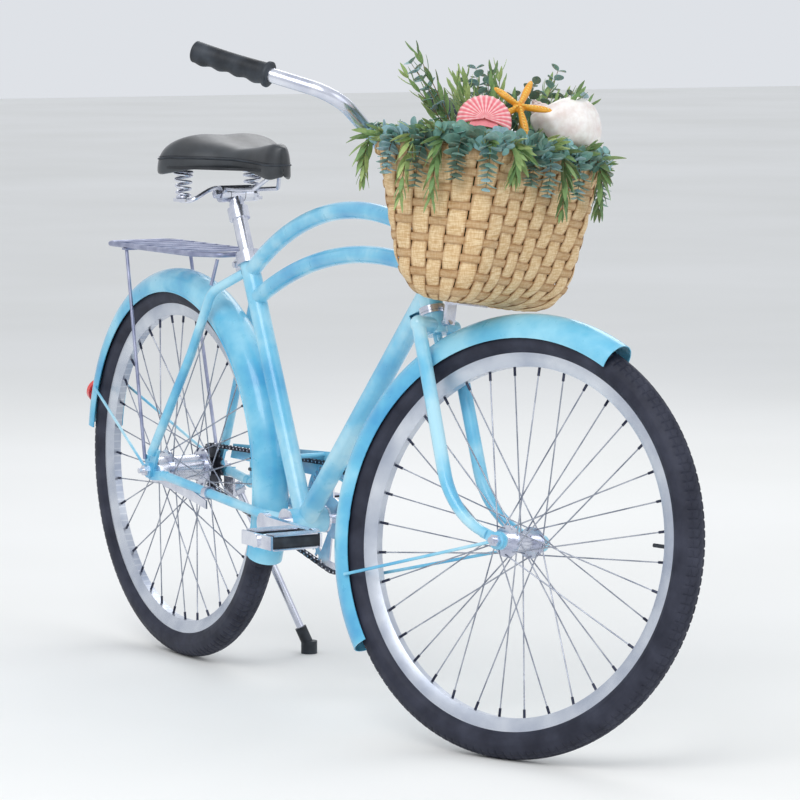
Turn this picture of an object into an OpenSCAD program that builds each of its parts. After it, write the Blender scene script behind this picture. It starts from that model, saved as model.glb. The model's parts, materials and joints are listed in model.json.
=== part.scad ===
// Beach cruiser bicycle with a woven front basket.
// +X forward, +Y to the rider's left, +Z up; the origin is where the rear tyre meets the ground.

/* [Overall] */
// Distance between the wheel axles with the bars straight
wheelbase = 1055; // [1040:1:1140]
// How far the bars are turned to the left at rest, degrees
steer_rest = 24; // [0:1:35]
// Angle of the head tube above the horizontal, degrees
head_angle = 68.5; // [66:0.5:71]
// Angle of the seat tube above the horizontal, degrees
seat_angle = 65; // [63:0.5:68]
// Forward offset of the front axle from the steering axis
fork_rake = 75; // [60:1:85]

/* [Wheels] */
// Outer radius of both tyres
wheel_r = 326; // [310:1:334]
// Width of the tyre
tyre_w = 47; // [38:1:50]
// Thickness of the tyre's casing
tyre_wall = 3.5; // [2.5:0.5:5]
// Outer width of the rim
rim_w = 27; // [24:0.5:30]
// Depth of the rim
rim_h = 22; // [16:1:26]
// Wall of the rim
rim_wall = 2.5; // [1.5:0.5:4]
// Radius of a spoke
spoke_r = 1.1; // [0.8:0.1:1.3]
// Number of spokes in a wheel
spokes = 36; // [36]
// Radius of the axles
axle_r = 5; // [4:0.5:6]
// Radial clearance of each running fit
run = 0.05; // [0.02:0.01:0.08]
// Distance between the front dropouts
front_old = 100; // [96:1:110]
// Distance between the rear dropouts
rear_old = 124; // [122:1:135]
// Thickness of the dropout plates
plate = 5; // [4:0.5:7]

/* [Frame] */
// Height of the bottom bracket's centre
bb_z = 285; // [270:1:300]
// Length of the seat tube above the bottom bracket
seat_tube = 450; // [400:1:480]
// Wall of the down tube and the top tubes
tube_wall = 2; // [1.5:0.25:4]
// Rise of the upper top tube at its middle
upper_rise = 62; // [40:1:75]
// Rise of the lower top tube at its middle
lower_rise = 44; // [30:1:60]
// Outer radius of the seat tube
seat_tube_r = 16; // [15:0.5:18]
// Radius of the down tube
down_r = 17; // [14:0.5:19]
// Radius of the two top tubes
top_r = 14; // [11:0.5:16]
// Radius of the chain stays and seat stays
stay_r = 8; // [6.5:0.5:9]
// Length of the head tube
head_tube = 150; // [120:1:180]
// Outer radius of the head tube
head_r = 18; // [17:0.5:21]
// Width of the bottom bracket shell
shell_w = 68; // [64:1:73]
// Outer radius of the bottom bracket shell
shell_r = 21; // [19:0.5:24]

/* [Drive] */
// Teeth on the chainring
ring_teeth = 44; // [40:4:44]
// Teeth on the rear sprocket
sprocket_teeth = 18; // [16:2:20]
// Links in the chain
links = 100; // [98:2:104]
// Distance of the chain from the bicycle's middle plane
chainline = 54; // [53:0.5:56]
// Length of a crank arm
crank_len = 165; // [150:1:175]
// Length of a pedal's tread
pedal_l = 98; // [85:1:110]
// Width of a pedal, across the bicycle
pedal_w = 92; // [80:1:100]

/* [Seat] */
// Radius of the seat post
post_r = 12.7; // [12:0.1:13.6]
// Height of the seat post above the seat collar
post_out = 88; // [40:1:110]
// Length of the seat post inside the seat tube
post_in = 190; // [120:1:220]
// Length of the saddle
saddle_l = 275; // [250:1:300]
// Width of the saddle
saddle_w = 235; // [200:1:250]

/* [Fenders and rack] */
// Gap between the tyre and each side of its fender
fender_side = 5; // [4:0.5:8]
// Thickness of the fender sheet
fender_t = 1.5; // [1:0.1:2]
// Gap between the tyre's tread and the fender
fender_gap = 17; // [12:1:20]
// Length of the luggage rack's deck
rack_l = 370; // [320:1:400]
// Width of the luggage rack's deck
rack_w = 124; // [100:1:140]
// Height of the luggage rack's deck
rack_z = 706; // [700:1:730]
// Radius of the rack's rods
rack_r = 4.5; // [3.5:0.5:6]

/* [Handlebar and basket] */
// Radius of the handlebar tube
bar_r = 11.1; // [10.5:0.1:12]
// Width of the handlebar, between the middles of the grips' ends
bar_w = 600; // [540:10:660]
// Rise of the grips above the handlebar's middle
bar_rise = 118; // [80:1:150]
// Radius of the grips
grip_r = 16; // [14.5:0.5:18]
// Length of the grips
grip_l = 128; // [110:1:135]
// Height of the basket
basket_h = 228; // [200:1:250]
// Width of the basket at its rim
basket_w = 340; // [300:1:400]
// Depth of the basket at its rim, front to back
basket_d = 240; // [200:1:290]
// Thickness of the basket's woven wall
basket_t = 6; // [4:0.5:8]

/* [Hidden] */
$fn = 48;

// Places in the bicycle's middle plane
pitch = 12.7;
ring_pr = pitch / 2 / sin(180 / ring_teeth);
sprocket_pr = pitch / 2 / sin(180 / sprocket_teeth);
rear = [0, 0, wheel_r];
chain_slope = asin((ring_pr - sprocket_pr) / (pitch * links / 2 - pitch * (ring_teeth + sprocket_teeth) / 4));
chain_centres = (links - ring_teeth * (0.5 + chain_slope / 180) - sprocket_teeth * (0.5 - chain_slope / 180))
    * pitch / 2 / cos(chain_slope);
bb = [sqrt(pow(chain_centres, 2) - pow(bb_z - wheel_r, 2)), 0, bb_z];
seat_dir = [-cos(seat_angle), 0, sin(seat_angle)];
seat_top = bb + seat_tube * seat_dir;
up = [-cos(head_angle), 0, sin(head_angle)];
ahead = [sin(head_angle), 0, cos(head_angle)];
side_lean = cos(head_angle) * sin(steer_rest);
front = [wheelbase, 0, fork_rake * cos(head_angle) * (1 - cos(steer_rest))
    + (wheel_r - tyre_w / 2) * sqrt(1 - pow(side_lean, 2)) + tyre_w / 2];
steer_at = front - fork_rake * ahead;
fender_r = wheel_r + fender_gap + fender_t;
fender_w = tyre_w + 2 * (fender_side + fender_t);
fender_mid = fender_r - fender_w / 2;
crown_s = sqrt(pow(fender_r + 14, 2) - pow(fork_rake, 2)) + 12;
head_s = crown_s + 30;
cup_h = 8;
stem_s = head_s + head_tube + 2 * cup_h + 68;
bar_at = steer_at + stem_s * up + 18 * ahead;
steerer_r = 12.7;
rim_r = wheel_r - tyre_w + 7;
rim_in = rim_r - rim_h;
nut_r = 9.5;
nut_h = 8;
arm_t = 12;
arm_y = chainline + 14;
front_flange = 31;
rear_flange = 33;
chain_w = 9;
tooth_w = 2.8;
roller_r = 3.9;
tooth_gap = 0.45;

// Vector helpers
function unit(v) = v / norm(v);
function flip(p, s) = [p.x, s * p.y, p.z];
function turn_dir(a, b, c) = acos(max(-1, min(1, unit(b - a) * unit(c - b))));
function trim(pts, i, bend) = i <= 0 || i >= len(pts) - 1 ? 0
    : bend * tan(turn_dir(pts[i - 1], pts[i], pts[i + 1]) / 2);
function in_line(a, b, t) = a + (b - a) * t;

// A straight round rod from a to b
module rod(a, b, r) {
    d = b - a;
    translate(a) rotate([0, acos(d.z / norm(d)), atan2(d.y, d.x)]) cylinder(h = norm(d), r = r);
}

// Points along a path of straight lengths and round bends, with a few points in each bend
function bend_points(pts, i, bend, steps) = let(d1 = unit(pts[i] - pts[i - 1]), d2 = unit(pts[i + 1] - pts[i]),
    t = trim(pts, i, bend), s = pts[i] - d1 * t, inward = unit(d2 - d1 * (d1 * d2)), c = s + bend * inward,
    turn = acos(d1 * d2))
    [for (k = [0:steps]) let(a = turn * k / steps) c - bend * cos(a) * inward + bend * sin(a) * d1];
function rounded(pts, bend, steps) = [pts[0], for (i = [1:len(pts) - 2]) each bend_points(pts, i, bend, steps),
    pts[len(pts) - 1]];
function way(p, i) = unit(p[min(i + 1, len(p) - 1)] - p[max(i - 1, 0)]);
// One side vector for each ring, each turned as little as can be from the last
function sides_of(p, i, last) = let(u = last - (last * way(p, i)) * way(p, i)) unit(u);
function side_list(p, i, last) = i >= len(p) ? [] : let(u = sides_of(p, i, last)) concat([u], side_list(p, i + 1, u));

// A round bar swept along the points; bend is the bend radius, steps the rings in a bend, r_end the last radius
module bent(pts, r, bend, steps = 6, sides = 16, r_end = undef) {
    p = rounded(pts, bend, steps);
    n = len(p);
    start = abs(way(p, 0).z) < 0.9 ? [0, 0, 1] : [1, 0, 0];
    us = side_list(p, 0, start);
    rings = [for (i = [0:n - 1]) let(u = us[i], v = cross(way(p, i), u)) for (j = [0:sides - 1])
        p[i] + (is_undef(r_end) ? r : in_line(r, r_end, i / (n - 1)))
            * (cos(j * 360 / sides) * u + sin(j * 360 / sides) * v)];
    polyhedron(points = rings, faces = concat([[for (j = [0:sides - 1]) j]],
        [[for (j = [sides - 1:-1:0]) (n - 1) * sides + j]],
        [for (i = [0:n - 2], j = [0:sides - 1]) let(a = i * sides + j, b = i * sides + (j + 1) % sides)
            [a, a + sides, b + sides, b]]));
}

// A tube along a single arc that rises by the height at its middle
module arch_tube(a, b, height, r) {
    half = norm(b - a) / 2;
    bend = (half * half + height * height) / 2 / height;
    x = unit(b - a);
    z = cross(x, [0, 1, 0]);
    high = z.z > 0 ? z : -z;
    c = (a + b) / 2 + (height - bend) * high;
    sweep = 2 * asin(half / bend);
    tilt = atan2(high.z, high.x);
    translate(c) rotate([90, 0, 0]) rotate([0, 0, tilt - sweep / 2])
        rotate_extrude(angle = sweep, $fn = 360) translate([bend, 0]) circle(r = r, $fn = 40);
}

function on_axis(s) = steer_at + s * up;
module steered() {
    translate(steer_at) rotate(a = steer_rest, v = up) translate(-steer_at) children();
}

// Turns a shape drawn round the Z axis so that it lies round the Y axis at p
module across(p) { translate(p) rotate([-90, 0, 0]) children(); }
module hex_nut(y, s) { across([0, y + min(0, s * nut_h), 0]) cylinder(h = nut_h, r = nut_r, $fn = 6); }

// Frame
upper_from = seat_top - 14 * seat_dir;
lower_from = seat_top - 62 * seat_dir;
head_low = steer_at + head_s * up;
head_high = head_low + head_tube * up;
upper_to = head_high - 26 * up;
lower_to = head_low + 62 * up;
down_to = head_low + 24 * up;
module frame_tubes() color("lightskyblue") difference() {
    union() {
        rod(bb, seat_top, seat_tube_r);
        rod(head_low, head_high, head_r);
        across(bb - [0, shell_w / 2, 0]) cylinder(h = shell_w, r = shell_r);
        difference() {
            union() {
                arch_tube(upper_from, upper_to, upper_rise, top_r);
                arch_tube(lower_from, lower_to, lower_rise, top_r);
                rod(bb, down_to, down_r);
            }
            rod(head_low - 40 * up, head_low + up, head_r + 30);
            rod(head_high - up, head_high + 60 * up, head_r + 30);
            rod(seat_top - seat_dir, seat_top + 60 * seat_dir, seat_tube_r + 30);
        }
    }
    rod(bb + 40 * seat_dir, seat_top + seat_dir, post_r + run);
    rod(head_low - up, head_high + up, head_r - 3.5);
    rod(bb, down_to, down_r - tube_wall);
    arch_tube(upper_from, upper_to, upper_rise, top_r - tube_wall);
    arch_tube(lower_from, lower_to, lower_rise, top_r - tube_wall);
    across(bb - [0, shell_w / 2 + 1, 0]) cylinder(h = shell_w + 2, r = shell_r - 3);
}

drop_y = rear_old / 2 + plate / 2;
stay_bend = [bb.x - 83, 42, bb_z + 6];
stay_end = [46, drop_y - 1, wheel_r - 4];
hoop = [seat_top.x - 56, 42, seat_top.z - 48];
module rear_stays() color("lightskyblue") difference() {
    for (s = [-1, 1]) {
        bent([flip([bb.x - 12, 20, bb_z + 1], s), flip(stay_bend, s), flip(stay_end, s)], stay_r, 90);
        bent([flip([seat_top.x - 8, 7, seat_top.z - 16], s), flip(hoop, s),
            flip([hoop.x - 62, 50, hoop.z - 110], s), flip([14, drop_y + 5.5, wheel_r + 30], s)], stay_r, 45);
        across([0, s * drop_y - plate / 2, wheel_r]) linear_extrude(plate) union() {
            circle(r = 16);
            translate([-12, -18]) circle(r = 8);
            polygon([[0, -16], [16, -42], [32, -36], [14, 0], [62, -4], [60, 12], [0, 17]]);
        }
    }
    across([0, -100, wheel_r]) cylinder(h = 200, r = axle_r);
    rod(bb - 12 * seat_dir, seat_top + 40 * seat_dir, seat_tube_r);
    across(bb - [0, shell_w, 0]) cylinder(h = 2 * shell_w, r = shell_r);
}

module seat_collar() color("silver") {
    difference() {
        union() {
            rod(seat_top, seat_top + 20 * seat_dir, seat_tube_r + 4.5);
            translate(seat_top + 10 * seat_dir) rotate([0, seat_angle - 90, 0])
                translate([-34, -9, -10]) cube([20, 18, 20]);
        }
        rod(seat_top - seat_dir, seat_top + 21 * seat_dir, post_r + run);
        translate(seat_top + 10 * seat_dir) rotate([0, seat_angle - 90, 0]) {
            translate([-36, -1.5, -11]) cube([36, 3, 22]);
            translate([-28, -10, 0]) rotate([-90, 0, 0]) cylinder(h = 20, r = 3);
        }
    }
    translate(seat_top + 10 * seat_dir) rotate([0, seat_angle - 90, 0]) translate([-28, 0, 0]) {
        translate([0, -15, 0]) rotate([-90, 0, 0]) cylinder(h = 30, r = 3);
        translate([0, -15, 0]) rotate([-90, 0, 0]) cylinder(h = 6, r = 5.5, $fn = 6);
        translate([0, 9, 0]) rotate([-90, 0, 0]) cylinder(h = 5, r = 5.5, $fn = 6);
    }
}

module headset_cups() color("silver") for (at = [[0, -1], [head_tube, 1]]) {
    base = head_low + at[0] * up;
    difference() {
        rod(base, base + at[1] * cup_h * up, head_r + 3);
        rod(base - 2 * cup_h * up, base + 2 * cup_h * up, steerer_r + 1);
    }
}

cup_out = 4;
crank_axle_r = 8;
module bracket_cups() color("silver") for (s = [-1, 1]) {
    across([bb.x, s > 0 ? shell_w / 2 - 12 : -shell_w / 2 - cup_out, bb_z]) difference() {
        union() {
            cylinder(h = 12 + cup_out, r = shell_r - 3);
            translate([0, 0, s > 0 ? 12 : 0]) cylinder(h = cup_out, r = shell_r + 1);
        }
        translate([0, 0, -1]) cylinder(h = 14 + cup_out, r = crank_axle_r + run);
    }
}

stub_l = 8;
module axle(p, old) translate(p) {
    out = old / 2 + plate + 2 * stay_wire;
    across([0, -out - nut_h, 0]) cylinder(h = 2 * out + 2 * nut_h, r = axle_r);
    across([0, -out - nut_h - stub_l, 0]) cylinder(h = 2 * out + 2 * nut_h + 2 * stub_l, r = axle_r - 0.3);
    for (s = [-1, 1]) {
        difference() {
            hex_nut(s * out, s);
            across([0, -out - nut_h - 1, 0]) cylinder(h = 2 * out + 2 * nut_h + 2, r = axle_r);
        }
    }
}
cone_r = 9;
module rear_axle() color("silver") {
    axle(rear, rear_old);
    across([0, chainline + 6, wheel_r]) cylinder(h = rear_old / 2 - chainline - 6, r = cone_r);
}

// Fenders
module fender(from, to) rotate([90, 0, 0]) rotate([0, 0, from]) rotate_extrude(angle = to - from, $fn = 120)
    difference() {
        translate([fender_mid, 0]) circle(r = fender_w / 2);
        translate([fender_mid, 0]) circle(r = fender_w / 2 - fender_t);
        translate([fender_mid - fender_w - 9, -fender_w]) square([fender_w, 2 * fender_w]);
    }
rear_from = -22;
rear_to = 172;
module rear_fender() color("deepskyblue") translate(rear) fender(rear_from, rear_to);

stay_wire = 2.5;
module stay_pair(centre, angle, y_at) {
    edge = fender_mid - 4;
    tip = [edge * cos(angle), fender_w / 2 + stay_wire, edge * sin(angle)];
    foot = [12 * cos(angle), y_at + 1.2, 12 * sin(angle)];
    for (s = [-1, 1]) {
        rod(centre + flip(foot, s), centre + flip(tip, s), stay_wire);
        across(centre + [0, s > 0 ? y_at - stay_wire : -y_at - stay_wire, 0]) difference() {
            cylinder(h = 2 * stay_wire, r = 13);
            translate([0, 0, -1]) cylinder(h = 4 * stay_wire, r = axle_r);
        }
    }
}
module rear_fender_stays() color("lightskyblue")
    stay_pair(rear, 158, rear_old / 2 + plate + stay_wire);

reflector_angle = 163;
module rear_reflector() color("red") {
    c = rear + (fender_r + 0.1) * [cos(reflector_angle), 0, sin(reflector_angle)];
    translate(c) rotate([0, -reflector_angle, 0]) {
        rotate([0, 90, 0]) cylinder(h = 5, r = 8);
        translate([4, 0, 0]) rotate([0, 90, 0]) cylinder(h = 9, r = 22);
    }
}

// Luggage rack
rack_front = seat_top.x - 44;
rack_back = rack_front - rack_l;
rack_slats = 7;
slat_t = 4;
deck_top = rack_z + rack_r + 0.3;
strut_top = -96;
module rack_deck() color("silver") {
    y = rack_w / 2;
    loop = [[rack_front, 0, rack_z], [rack_front, 30, rack_z], [rack_front - 50, y, rack_z],
        [rack_back, y, rack_z], [rack_back, -y, rack_z], [rack_front - 50, -y, rack_z],
        [rack_front, -30, rack_z], [rack_front, -1, rack_z]];
    bent(loop, rack_r, 20, 4, 12);
    for (i = [1:rack_slats]) {
        x = rack_back + i * (rack_l - 64) / rack_slats;
        translate([x - 6, -y, deck_top - slat_t]) cube([12, rack_w, slat_t]);
    }
}
module rack_struts() color("slategray") {
    for (s = [-1, 1]) {
        foot = flip([-12, drop_y + plate / 2 + 3.1, wheel_r + 18], s);
        head = flip([strut_top, rack_w / 2 - 1, rack_z - rack_r - 3], s);
        rod(foot, head, 3);
    }
    translate([strut_top - 8, -rack_w / 2 - 4, rack_z - rack_r - 3]) cube([16, rack_w + 8, 3]);
    for (s = [-1, 1])
        rod(flip([rack_front - 6, 34, rack_z - rack_r - 3], s),
            flip([hoop.x + 2, 44, hoop.z + stay_r + 2], s), 3);
}

// Chain: two plate loops, with a roller for each link of its two runs that is clear of the turning teeth
half_ring = ring_teeth * (0.25 + chain_slope / 360);
half_sprocket = sprocket_teeth * (0.25 - chain_slope / 360);
straight = links / 2 - half_ring - half_sprocket;
line_angle = atan2(bb_z - wheel_r, bb.x);
function pin_local(k) = k <= half_ring ? [chain_centres + ring_pr * cos(k * 360 / ring_teeth),
        ring_pr * sin(k * 360 / ring_teeth)]
    : k >= links / 2 - half_sprocket ? [-sprocket_pr * cos((links / 2 - k) * 360 / sprocket_teeth),
        sprocket_pr * sin((links / 2 - k) * 360 / sprocket_teeth)]
    : in_line([chain_centres - ring_pr * sin(chain_slope), ring_pr * cos(chain_slope)],
        [-sprocket_pr * sin(chain_slope), sprocket_pr * cos(chain_slope)], (k - half_ring) / straight);
module chain_outline(grow) polygon(concat(
    [for (i = [0:40]) let(a = (90 + chain_slope) * (1 - i / 20)) [chain_centres, 0]
        + (ring_pr + grow) * [cos(a), sin(a)]],
    [for (i = [0:20]) let(a = -90 - chain_slope - (90 - chain_slope) * i / 10)
        (sprocket_pr + grow) * [cos(a), sin(a)]]));
module on_chain_line() translate([0, chainline, wheel_r]) rotate([90, 0, 0])
    rotate([0, 0, line_angle]) children();
module chain() color("dimgray") on_chain_line() {
    for (z = [-chain_w / 2, tooth_w / 2 + 0.3])
        translate([0, 0, z]) linear_extrude(chain_w / 2 - tooth_w / 2 - 0.3) difference() {
            chain_outline(4);
            chain_outline(-4);
        }
    for (k = [ceil(half_ring) + 3:floor(links / 2 - half_sprocket) - 2]) for (s = [-1, 1])
        translate([pin_local(k).x, s * pin_local(k).y, -tooth_w / 2 - 0.5])
            cylinder(h = tooth_w + 1, r = roller_r - 0.2, $fn = 24);
}

guard_y = chainline + 7;
guard_from = 52;
module chain_guard() color("deepskyblue") {
    translate([0, guard_y + 2, wheel_r]) rotate([90, 0, 0]) rotate([0, 0, line_angle]) linear_extrude(2)
        difference() {
            union() {
                translate([chain_centres, 0]) circle(r = ring_pr + 20, $fn = 120);
                polygon([[guard_from, sprocket_pr - 12], [guard_from + 8, sprocket_pr + 14],
                    [chain_centres, ring_pr + 20], [chain_centres, ring_pr - 26]]);
            }
            translate([chain_centres, 0]) circle(r = ring_pr - 26, $fn = 120);
            translate([-20, -300]) square([chain_centres + 200, 300 + 20]);
        }
    tab = bb + (ring_pr + 21) * seat_dir;
    difference() {
        rod([tab.x, 8, tab.z], [tab.x, guard_y, tab.z], 4);
        rod(bb, seat_top, seat_tube_r);
    }
    clip = in_line(stay_bend, stay_end, 0.72);
    clip_dir = unit(stay_end - stay_bend);
    difference() {
        union() {
            rod(clip - 7 * clip_dir, clip + 7 * clip_dir, stay_r + 2);
            translate([clip.x - 6, guard_y, clip.z + 6]) cube([12, 2, 34]);
        }
        rod(clip - 9 * clip_dir, clip + 9 * clip_dir, stay_r);
    }
}

// Rear brake's reaction arm, on the right
arm_end = in_line(stay_bend, stay_end, 0.52);
module coaster_arm() color("silver") difference() {
    union() {
        across([0, -rear_old / 2, wheel_r]) cylinder(h = 3, r = 15);
        translate([0, -rear_old / 2 + 3, wheel_r]) rotate([90, 0, 0]) linear_extrude(3) polygon([[0, -15],
            [0, 15], [arm_end.x + 8, arm_end.z - wheel_r - 12], [arm_end.x + 8, arm_end.z - wheel_r - 26]]);
        rod(flip(arm_end, -1) - [7, 0, 0], flip(arm_end, -1) + [7, 0, 0], stay_r + 3);
    }
    across([0, -rear_old, wheel_r]) cylinder(h = rear_old, r = axle_r);
    rod(flip(stay_bend, -1), flip(stay_end, -1), stay_r);
}

// Side stand, on the left
stand_at = [34, drop_y + plate / 2, wheel_r - 46];
stand_foot = [96, 196, 0];
stand_axis = unit([0.25, 0.86, 0.44]);
stand_hub = stand_at + 18 * stand_axis;
stand_tip = stand_foot + [-3, -8, 22];
leg_r = 6.5;
module kickstand_bracket() color("silver") difference() {
    union() {
        translate([stand_at.x - 16, drop_y + plate / 2, stand_at.z - 14]) cube([34, 4, 44]);
        rod(stand_at - 2 * stand_axis, stand_hub + 9 * stand_axis, 5);
        rod(stand_hub + 9 * stand_axis, stand_hub + 13 * stand_axis, 8);
        rod(stand_at - 2 * stand_axis, stand_hub - 6 * stand_axis, 11);
    }
    translate([stand_at.x - 60, drop_y + plate / 2 - 40, stand_at.z - 60]) cube([120, 40, 120]);
}
module kickstand_leg() color("silver") difference() {
    union() {
        rod(stand_hub - 4.7 * stand_axis, stand_hub + 8.7 * stand_axis, 12);
        rod(stand_hub + 2 * stand_axis, stand_tip, leg_r);
    }
    rod(stand_hub - 20 * stand_axis, stand_hub + 20 * stand_axis, 5 + run);
}
module kickstand_foot() color("black") difference() {
    leg_dir = unit(stand_tip - stand_hub - 2 * stand_axis);
    union() {
        rod(stand_tip - 26 * leg_dir, stand_tip + 4 * leg_dir, 10);
        translate([stand_tip.x + 2, stand_tip.y + 4, 0]) cylinder(h = 22, r = 14);
    }
    rod(stand_hub + 2 * stand_axis, stand_tip, leg_r);
}

// Seat
post_top = seat_top + (20 + post_out) * seat_dir;
saddle_at = post_top + 14 * seat_dir;
module seat_post() color("silver") difference() {
    rod(seat_top - post_in * seat_dir, post_top, post_r);
    rod(seat_top - (post_in + 1) * seat_dir, post_top - 20 * seat_dir, post_r - 2);
}

rail_y = 22;
rail_r = 3.5;
rail_z = saddle_at.z + 13;
base_z = rail_z + 34;
pivot_z = saddle_at.z + 4;
barrel = 13;
module saddle_clamp() color("silver") difference() {
    union() {
        rod(post_top - 28 * seat_dir, post_top - 8 * seat_dir, post_r + 5);
        rod(post_top - 9 * seat_dir, [saddle_at.x, 0, pivot_z], barrel - 1);
        across([saddle_at.x, -barrel, pivot_z]) cylinder(h = 2 * barrel, r = 14);
        across([saddle_at.x, -rail_y - 14, pivot_z]) cylinder(h = 2 * rail_y + 28, r = 4);
        for (s = [-1, 1]) across([saddle_at.x, s * (rail_y + 12.4) - 4, pivot_z])
            cylinder(h = 8, r = 8, $fn = 6);
    }
    rod(post_top - 29 * seat_dir, post_top, post_r);
}
module rail_clamps() color("silver") for (s = [-1, 1]) difference() {
    across([saddle_at.x, s * (rail_y - 0.5) - 7.5, pivot_z]) cylinder(h = 15, r = 14);
    across([saddle_at.x, -60, pivot_z]) cylinder(h = 120, r = 4 + run);
    rod([saddle_at.x - 30, s * rail_y, rail_z], [saddle_at.x + 30, s * rail_y, rail_z], rail_r);
}
nose = [saddle_at.x + 172, 0, base_z + 4];
tail_x = saddle_at.x + 172 - saddle_l + 34;
spring_x = tail_x + 8;
spring_y = saddle_w / 2 - 52;
spring_r = 17;
spring_h = 46;
spring_z = base_z - 4 - spring_h;
module saddle_rails() color("silver") {
    for (s = [-1, 1]) bent([flip([nose.x - 22, 4, base_z - 3], s), flip([nose.x - 60, rail_y, rail_z + 4], s),
        flip([saddle_at.x + 50, rail_y, rail_z], s), flip([saddle_at.x - 36, rail_y, rail_z], s),
        flip([spring_x + 27, spring_y, spring_z - 6.5], s), flip([spring_x - 10, spring_y, spring_z - 6.5], s)],
        rail_r, 14, 4, 8);
    for (s = [-1, 1]) translate(flip([spring_x, spring_y, spring_z - 7], s)) cylinder(h = 5, r = spring_r);
}
spring_turns = 4;
spring_wire = 2.6;
function helix(t) = [(spring_r - spring_wire) * cos(t * 360), (spring_r - spring_wire) * sin(t * 360),
    spring_wire + t * (spring_h - 2 * spring_wire) / spring_turns];
module coil(at) {
    steps = spring_turns * 14;
    sides = 8;
    rings = [for (i = [0:steps]) let(t = i / 14, c = helix(t), o = [cos(t * 360), sin(t * 360), 0])
        for (j = [0:sides - 1]) c + spring_wire * (cos(j * 360 / sides) * o + [0, 0, sin(j * 360 / sides)])];
    translate(at) polyhedron(points = rings, faces = concat(
        [[for (j = [0:sides - 1]) j]], [[for (j = [sides - 1:-1:0]) steps * sides + j]],
        [for (i = [0:steps - 1], j = [0:sides - 1]) let(a = i * sides + j, b = i * sides + (j + 1) % sides)
            [a, a + sides, b + sides, b]]));
}
module saddle_springs() color("dimgray") for (s = [-1, 1])
    coil([spring_x, s * spring_y, spring_z - 2]);
module saddle_blank(grow, low, high) hull() {
    for (s = [-1, 1]) translate([tail_x + 28, s * (saddle_w / 2 - 62), low])
        cylinder(h = high - low, r = 62 + grow, $fn = 32);
    translate([saddle_at.x + 30, 0, low]) cylinder(h = high - low, r = 44 + grow, $fn = 32);
    translate([nose.x - 24, 0, low]) cylinder(h = high - low, r = 24 + grow, $fn = 32);
}
module saddle_base() color("dimgray") saddle_blank(-5, base_z, base_z + 4);
cover_h = 56;
module saddle_cover() color("#202428") difference() {
    hull() {
        saddle_blank(0, base_z - 14, base_z + 12);
        saddle_blank(-22, base_z - 2, base_z + cover_h - 10);
        translate([tail_x + 26, 0, base_z + cover_h - 12]) cylinder(h = 12, r = 50, $fn = 32);
    }
    saddle_blank(-4, base_z - 20, base_z + 4);
}

// Steering
blade_top = steer_at + crown_s * up;
blade_knee = steer_at + 62 * up - 4 * ahead;
blade_y = fender_w / 2 + 14;
crown_front = blade_top + 17 * ahead;
end_y = front_old / 2 + plate / 2;
blade_r = 11;
tip_dir = unit(blade_knee - front);
module fork() color("lightskyblue") steered() difference() {
    union() {
        rod(blade_top - 10 * up, on_axis(head_s + head_tube + 2 * cup_h + 4), steerer_r);
        rod(blade_top - 14 * up, steer_at + (head_s - cup_h - 4) * up, 17);
        for (s = [-1, 1]) {
            bent([blade_top + [0, s * blade_y, 0], blade_knee + [0, s * (blade_y + 4), 0],
                front + 24 * tip_dir + [0, s * end_y, 0]], blade_r, 140, 10, 16, 7.5);
            across(front + [0, s * end_y - plate / 2, 0]) cylinder(h = plate, r = 14);
            translate(front + [0, s * end_y, 0]) rotate([0, -atan2(tip_dir.z, tip_dir.x), 0])
                translate([0, -plate / 2, -8]) cube([34, plate, 16]);
        }
        rod(blade_top + [0, blade_y, 0], blade_top - [0, blade_y, 0], 13);
        for (s = [-1, 1]) translate(blade_top + [0, s * blade_y, 0]) sphere(r = 13);
    }
    across(front - [0, 100, 0]) cylinder(h = 200, r = axle_r);
    rod(blade_top - 8 * up, on_axis(head_s + head_tube + 2 * cup_h + 20), steerer_r - 1.7);
}

module headset_races() color("silver") steered() difference() {
    union() {
        rod(on_axis(head_s - cup_h - 4), on_axis(head_s - cup_h - 0.3), head_r + 2);
        rod(on_axis(head_s + head_tube + cup_h + 0.3), on_axis(head_s + head_tube + 2 * cup_h + 4),
            head_r + 1);
    }
    rod(on_axis(head_s - 40), on_axis(head_s + head_tube + 60), steerer_r);
}

quill_r = steerer_r - 1.75;
module stem() color("silver") steered() difference() {
    union() {
        rod(on_axis(head_s + head_tube - 40), on_axis(stem_s), quill_r);
        translate(on_axis(stem_s)) sphere(r = quill_r + 3);
        rod(on_axis(stem_s), bar_at, quill_r + 2);
        across(bar_at - [0, 20, 0]) cylinder(h = 40, r = bar_r + 5);
        rod(on_axis(stem_s + 8), on_axis(stem_s + 17), 6);
    }
    across(bar_at - [0, 60, 0]) cylinder(h = 120, r = bar_r);
}

bar_end = bar_at + [-205, 0, bar_rise];
grip_dir = unit([-232, 62, 48]);
bar_bow = [bar_end.x, bar_w / 2, bar_end.z] - 245 * grip_dir;
bar_path = [[bar_end.x, bar_w / 2, bar_end.z], bar_bow, bar_at + [0, 62, 0],
    bar_at + [0, -62, 0], flip(bar_bow, -1), [bar_end.x, -bar_w / 2, bar_end.z]];
module handlebar() color("silver") steered() bent(bar_path, bar_r, 52, 8);
module grip(s) steered() difference() {
    end = flip(bar_path[0], s);
    dir = flip(grip_dir, s);
    union() {
        rod(end + 2 * dir, end - grip_l * dir, grip_r - 1);
        rod(end - (grip_l - 3) * dir, end - (grip_l + 3) * dir, grip_r + 4);
        rod(end - 4 * dir, end + 5 * dir, grip_r + 1);
    }
    rod(end, end - (grip_l + 30) * dir, bar_r);
}
module grip_left() color("#202428") grip(1);
module grip_right() color("#202428") grip(-1);

module front_axle() color("silver") steered() axle(front, front_old);

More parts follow.
